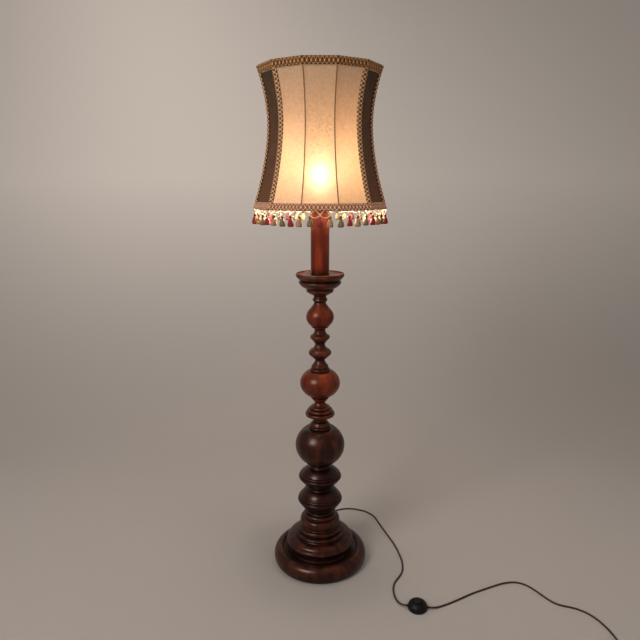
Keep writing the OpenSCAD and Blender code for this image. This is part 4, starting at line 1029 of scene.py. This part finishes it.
# Radius as a share of the skirt's, and height as a share of the tassel's, from the top down.
tassel_outline = [
    (0.10, 0.0), (0.22, -0.04), (0.38, -0.10), (0.42, -0.16), (0.38, -0.22), (0.24, -0.26),
    (0.26, -0.29), (0.46, -0.35), (0.66, -0.46), (0.82, -0.60), (0.93, -0.76), (0.95, -0.88),
    (0.84, -0.97), (0.55, -1.0),
]
head_rows = 6
flutes = 12
groove_depth = 0.09

tassel_rings = []
head_marks = []
for n, (r, z) in enumerate(tassel_outline):
    groove = 0 if n <= head_rows else groove_depth
    ring = []
    for i in range(2 * flutes):
        rr = r * (1 - groove * (i % 2)) * skirt_r
        angle = math.pi * i / flutes
        ring.append((rr * math.cos(angle), rr * math.sin(angle), z * tassel_h))
    tassel_rings.append(ring)
    head_marks += [float(n <= head_rows)] * len(ring)
tassel_mesh = skin("one_tassel", [tassel_rings])
tassel_mesh.flip_normals()  # the rings go downwards, which turns the skin inside out
tassel_mesh.attributes.new("head", "FLOAT", "POINT").data.foreach_set("value", head_marks)
one_tassel = stand("one_tassel", tassel_mesh)
print("tassel:", len(tassel_mesh.polygons), "faces")

# %% [markdown]
# The tassels are rayon too: the skirt's threads run down it in streaks, with painted shade
# between them, and the head is bound with a darker thread. They are drawn 1.8 mm wide, as bunches
# of threads, so that they show. The net is a cream cord that shines where it is lit.

# %% Rayon of the tassels, and the cream cord
tassel_rayon, tree, shader, place = new_material(
    "tassel_rayon", roughness=0.65, sheen_weight=0.03, sheen_roughness=0.35,
    specular_ior_level=0.3)
hue = add(tree, "Attribute", attribute_name="hue").outputs["Fac"]
head_part = add(tree, "Attribute", attribute_name="head").outputs["Fac"]
skirt = "#8c1420"
for low, tone in ((0.5, "#b28558"), (1.5, "#7c6c4c")):
    past = add(tree, "Math", [hue, low], "GREATER_THAN")
    skirt = add(tree, "Mix", [past, skirt, tone], data_type="RGBA")
hanging = add(tree, "VectorMath", [place, (1, 1, 1 / 4)], "MULTIPLY")
threads = add(tree, "TexNoise", {"Vector": hanging, "Scale": 1 / mm(1.8)})
# Painted shade: dark streaks between the threads.
between = add(tree, "MapRange", [threads, 0.38, 0.65, 0.65, 0])
streaked_with_painted_shade = add(tree, "Mix", [between, skirt, "#3a2018"], data_type="RGBA")
bound = add(tree, "Math", [head_part, 0.7], "MULTIPLY")
give(tree, shader, {
    "Base Color": add(tree, "Mix", [bound, streaked_with_painted_shade, "#3a1c14"], data_type="RGBA"),
    "Normal": add(tree, "Bump", {"Height": threads, "Distance": mm(0.4)})})

cream_cord = cloudy("cream_rayon_cord", ("#ab8c64", "#d2ba90"), 3, (0.5, 0.65), 1.3, 0.25,
                    sheen_weight=0.3)

# %% Node tree of the ring of tassels
tree, given = new_group("tassel_ring", {
    "Tassel": "Geometry", "Count": "Int", "Sides": "Int", "Radius": "Float",
    "Height": "Float"}, "Fringe")
dots = add(tree, "GeometryNodePoints", {"Count": given["Count"]})
index = add(tree, "GeometryNodeInputIndex")
middle = add(tree, "Math", [given["Count"], 0.5], "MULTIPLY")
from_front = add(tree, "Math", [index, middle], "SUBTRACT")

# The turn from the front, and the part of it up to the middle of the nearest side.
pitch = add(tree, "Math", [math.tau, given["Count"]], "DIVIDE")
turn = add(tree, "Math", [from_front, pitch], "MULTIPLY")
wedge = add(tree, "Math", [math.tau, given["Sides"]], "DIVIDE")
wedges = add(tree, "Math", [turn, wedge], "DIVIDE")
nearest = add(tree, "Math", [wedges], "ROUND")
to_side = add(tree, "Math", [nearest, wedge], "MULTIPLY")
off_side = add(tree, "Math", [turn, to_side], "SUBTRACT")
slant = add(tree, "Math", [off_side], "COSINE")
reach = add(tree, "Math", [given["Radius"], slant], "DIVIDE")

# The front is towards -Y, so the turn's sine goes to X and its cosine to -Y.
sine = add(tree, "Math", [turn], "SINE")
cosine = add(tree, "Math", [turn], "COSINE")
x = add(tree, "Math", [sine, reach], "MULTIPLY")
back = add(tree, "Math", [cosine, reach], "MULTIPLY")
y = add(tree, "Math", [back, -1], "MULTIPLY")
spot = add(tree, "CombineXYZ", [x, y, given["Height"]])
placed = add(tree, "GeometryNodeSetPosition", {"Geometry": dots, "Position": spot})
third = add(tree, "Math", [from_front, 3], "FLOORED_MODULO")
named = add(tree, "GeometryNodeStoreNamedAttribute", {
    "Geometry": placed, "Name": "hue", "Value": third}, data_type="FLOAT", domain="POINT")

# No two tassels hang quite alike.
spin = add(tree, "FunctionNodeRandomValue", {
    "Min": (-0.06, -0.06, 0), "Max": (0.06, 0.06, 6.28), "Seed": 7}, data_type="FLOAT_VECTOR")
size = add(tree, "FunctionNodeRandomValue", {2: 0.93, 3: 1.03, "Seed": 3}, data_type="FLOAT")
set_down = add(tree, "GeometryNodeInstanceOnPoints", {
    "Points": named, "Instance": given["Tassel"], "Rotation": spin, "Scale": size})
real = add(tree, "GeometryNodeRealizeInstances", [set_down])
soft = add(tree, "GeometryNodeSetShadeSmooth", {"Geometry": real})
done = add(tree, "GeometryNodeSetMaterial", {"Geometry": soft, "Material": tassel_rayon})
add(tree, "NodeGroupOutput", {"Fringe": done})

# %% Set the tassels round the shade
hang_r = corner_bottom_r * math.cos(half_side) - panel_t / 2
grown("tassels", one_tassel, tree, {
    "Count": tassel_count, "Sides": side_count, "Radius": hang_r, "Height": knot_z},
    "fringe", ["fringe"])

# %% Knot the net
net_cord_r = mm(1.1)
net_steps = tassel_count * 12
half_gap = mm(1)
knot_rise = mm(1)
lower_share = 0.5


def net_line(turned):
    """One scalloped cord round the shade's bottom edge."""
    line = []
    for i in range(net_steps):
        around = math.tau * i / net_steps
        side = round(around / (math.tau / side_count)) * math.tau / side_count
        r = (hang_r + (half_gap if turned else -half_gap)) / math.cos(around - side)
        swing = math.sin(around * tassel_count / 2 + turned * math.pi)
        z = knot_z + knot_rise + net_drop * swing * (1 if swing > 0 else lower_share)
        line.append((r * math.cos(around - math.pi / 2), r * math.sin(around - math.pi / 2), z))
    return line


plaited("net", [net_line(0), net_line(1)], True, cream_cord, {
    "Cords": 1, "Points": net_steps, "Width": 2 * net_cord_r, "Cord radius": net_cord_r},
    "fringe")

# %% Cream piping along the rims
piping_r = mm(1.0)
piping_paths = [rim_line(height, mm(1)) for height in (rib_high - piping_r, rib_low + piping_r)]
plaited("rim_piping", piping_paths, True, cream_cord, {
    "Cords": 1, "Points": 720, "Width": 2 * piping_r, "Cord radius": piping_r}, "braid")

# %% [markdown]
# ## Felt under the base
# A disc of wool felt keeps the ballast from marking the floor. It is pressed, so it has a fuzzy
# face and a rounded cut edge.

# %% Felt disc
felt_low, felt_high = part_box("base_felt")
felt_r = felt_high.x
felt_t = felt_high.z - felt_low.z
wool = cloudy("green_wool_felt", ("#1f2b20", "#39473a"), 6, (0.9, 1.0), 1.0, 0.3, sheen_weight=0.6)

felt_edge = mm(0.5)
felt_outline = [(felt_r - felt_edge, 0), (felt_r, felt_edge), (felt_r, felt_t - felt_edge),
                (felt_r - felt_edge, felt_t)]
felt_steps = 96
felt_rings = [[(r * math.cos(math.tau * i / felt_steps), r * math.sin(math.tau * i / felt_steps),
                felt_low.z + z) for i in range(felt_steps)] for r, z in felt_outline]
felt_mesh = skin("felt_disc", [felt_rings])
felt_mesh.materials.append(wool)
stand("felt_disc", felt_mesh, frame["nodes"]["base_felt"]["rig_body"], "felt", ["base_felt"])

# %% Update the scene
bpy.context.view_layer.update()
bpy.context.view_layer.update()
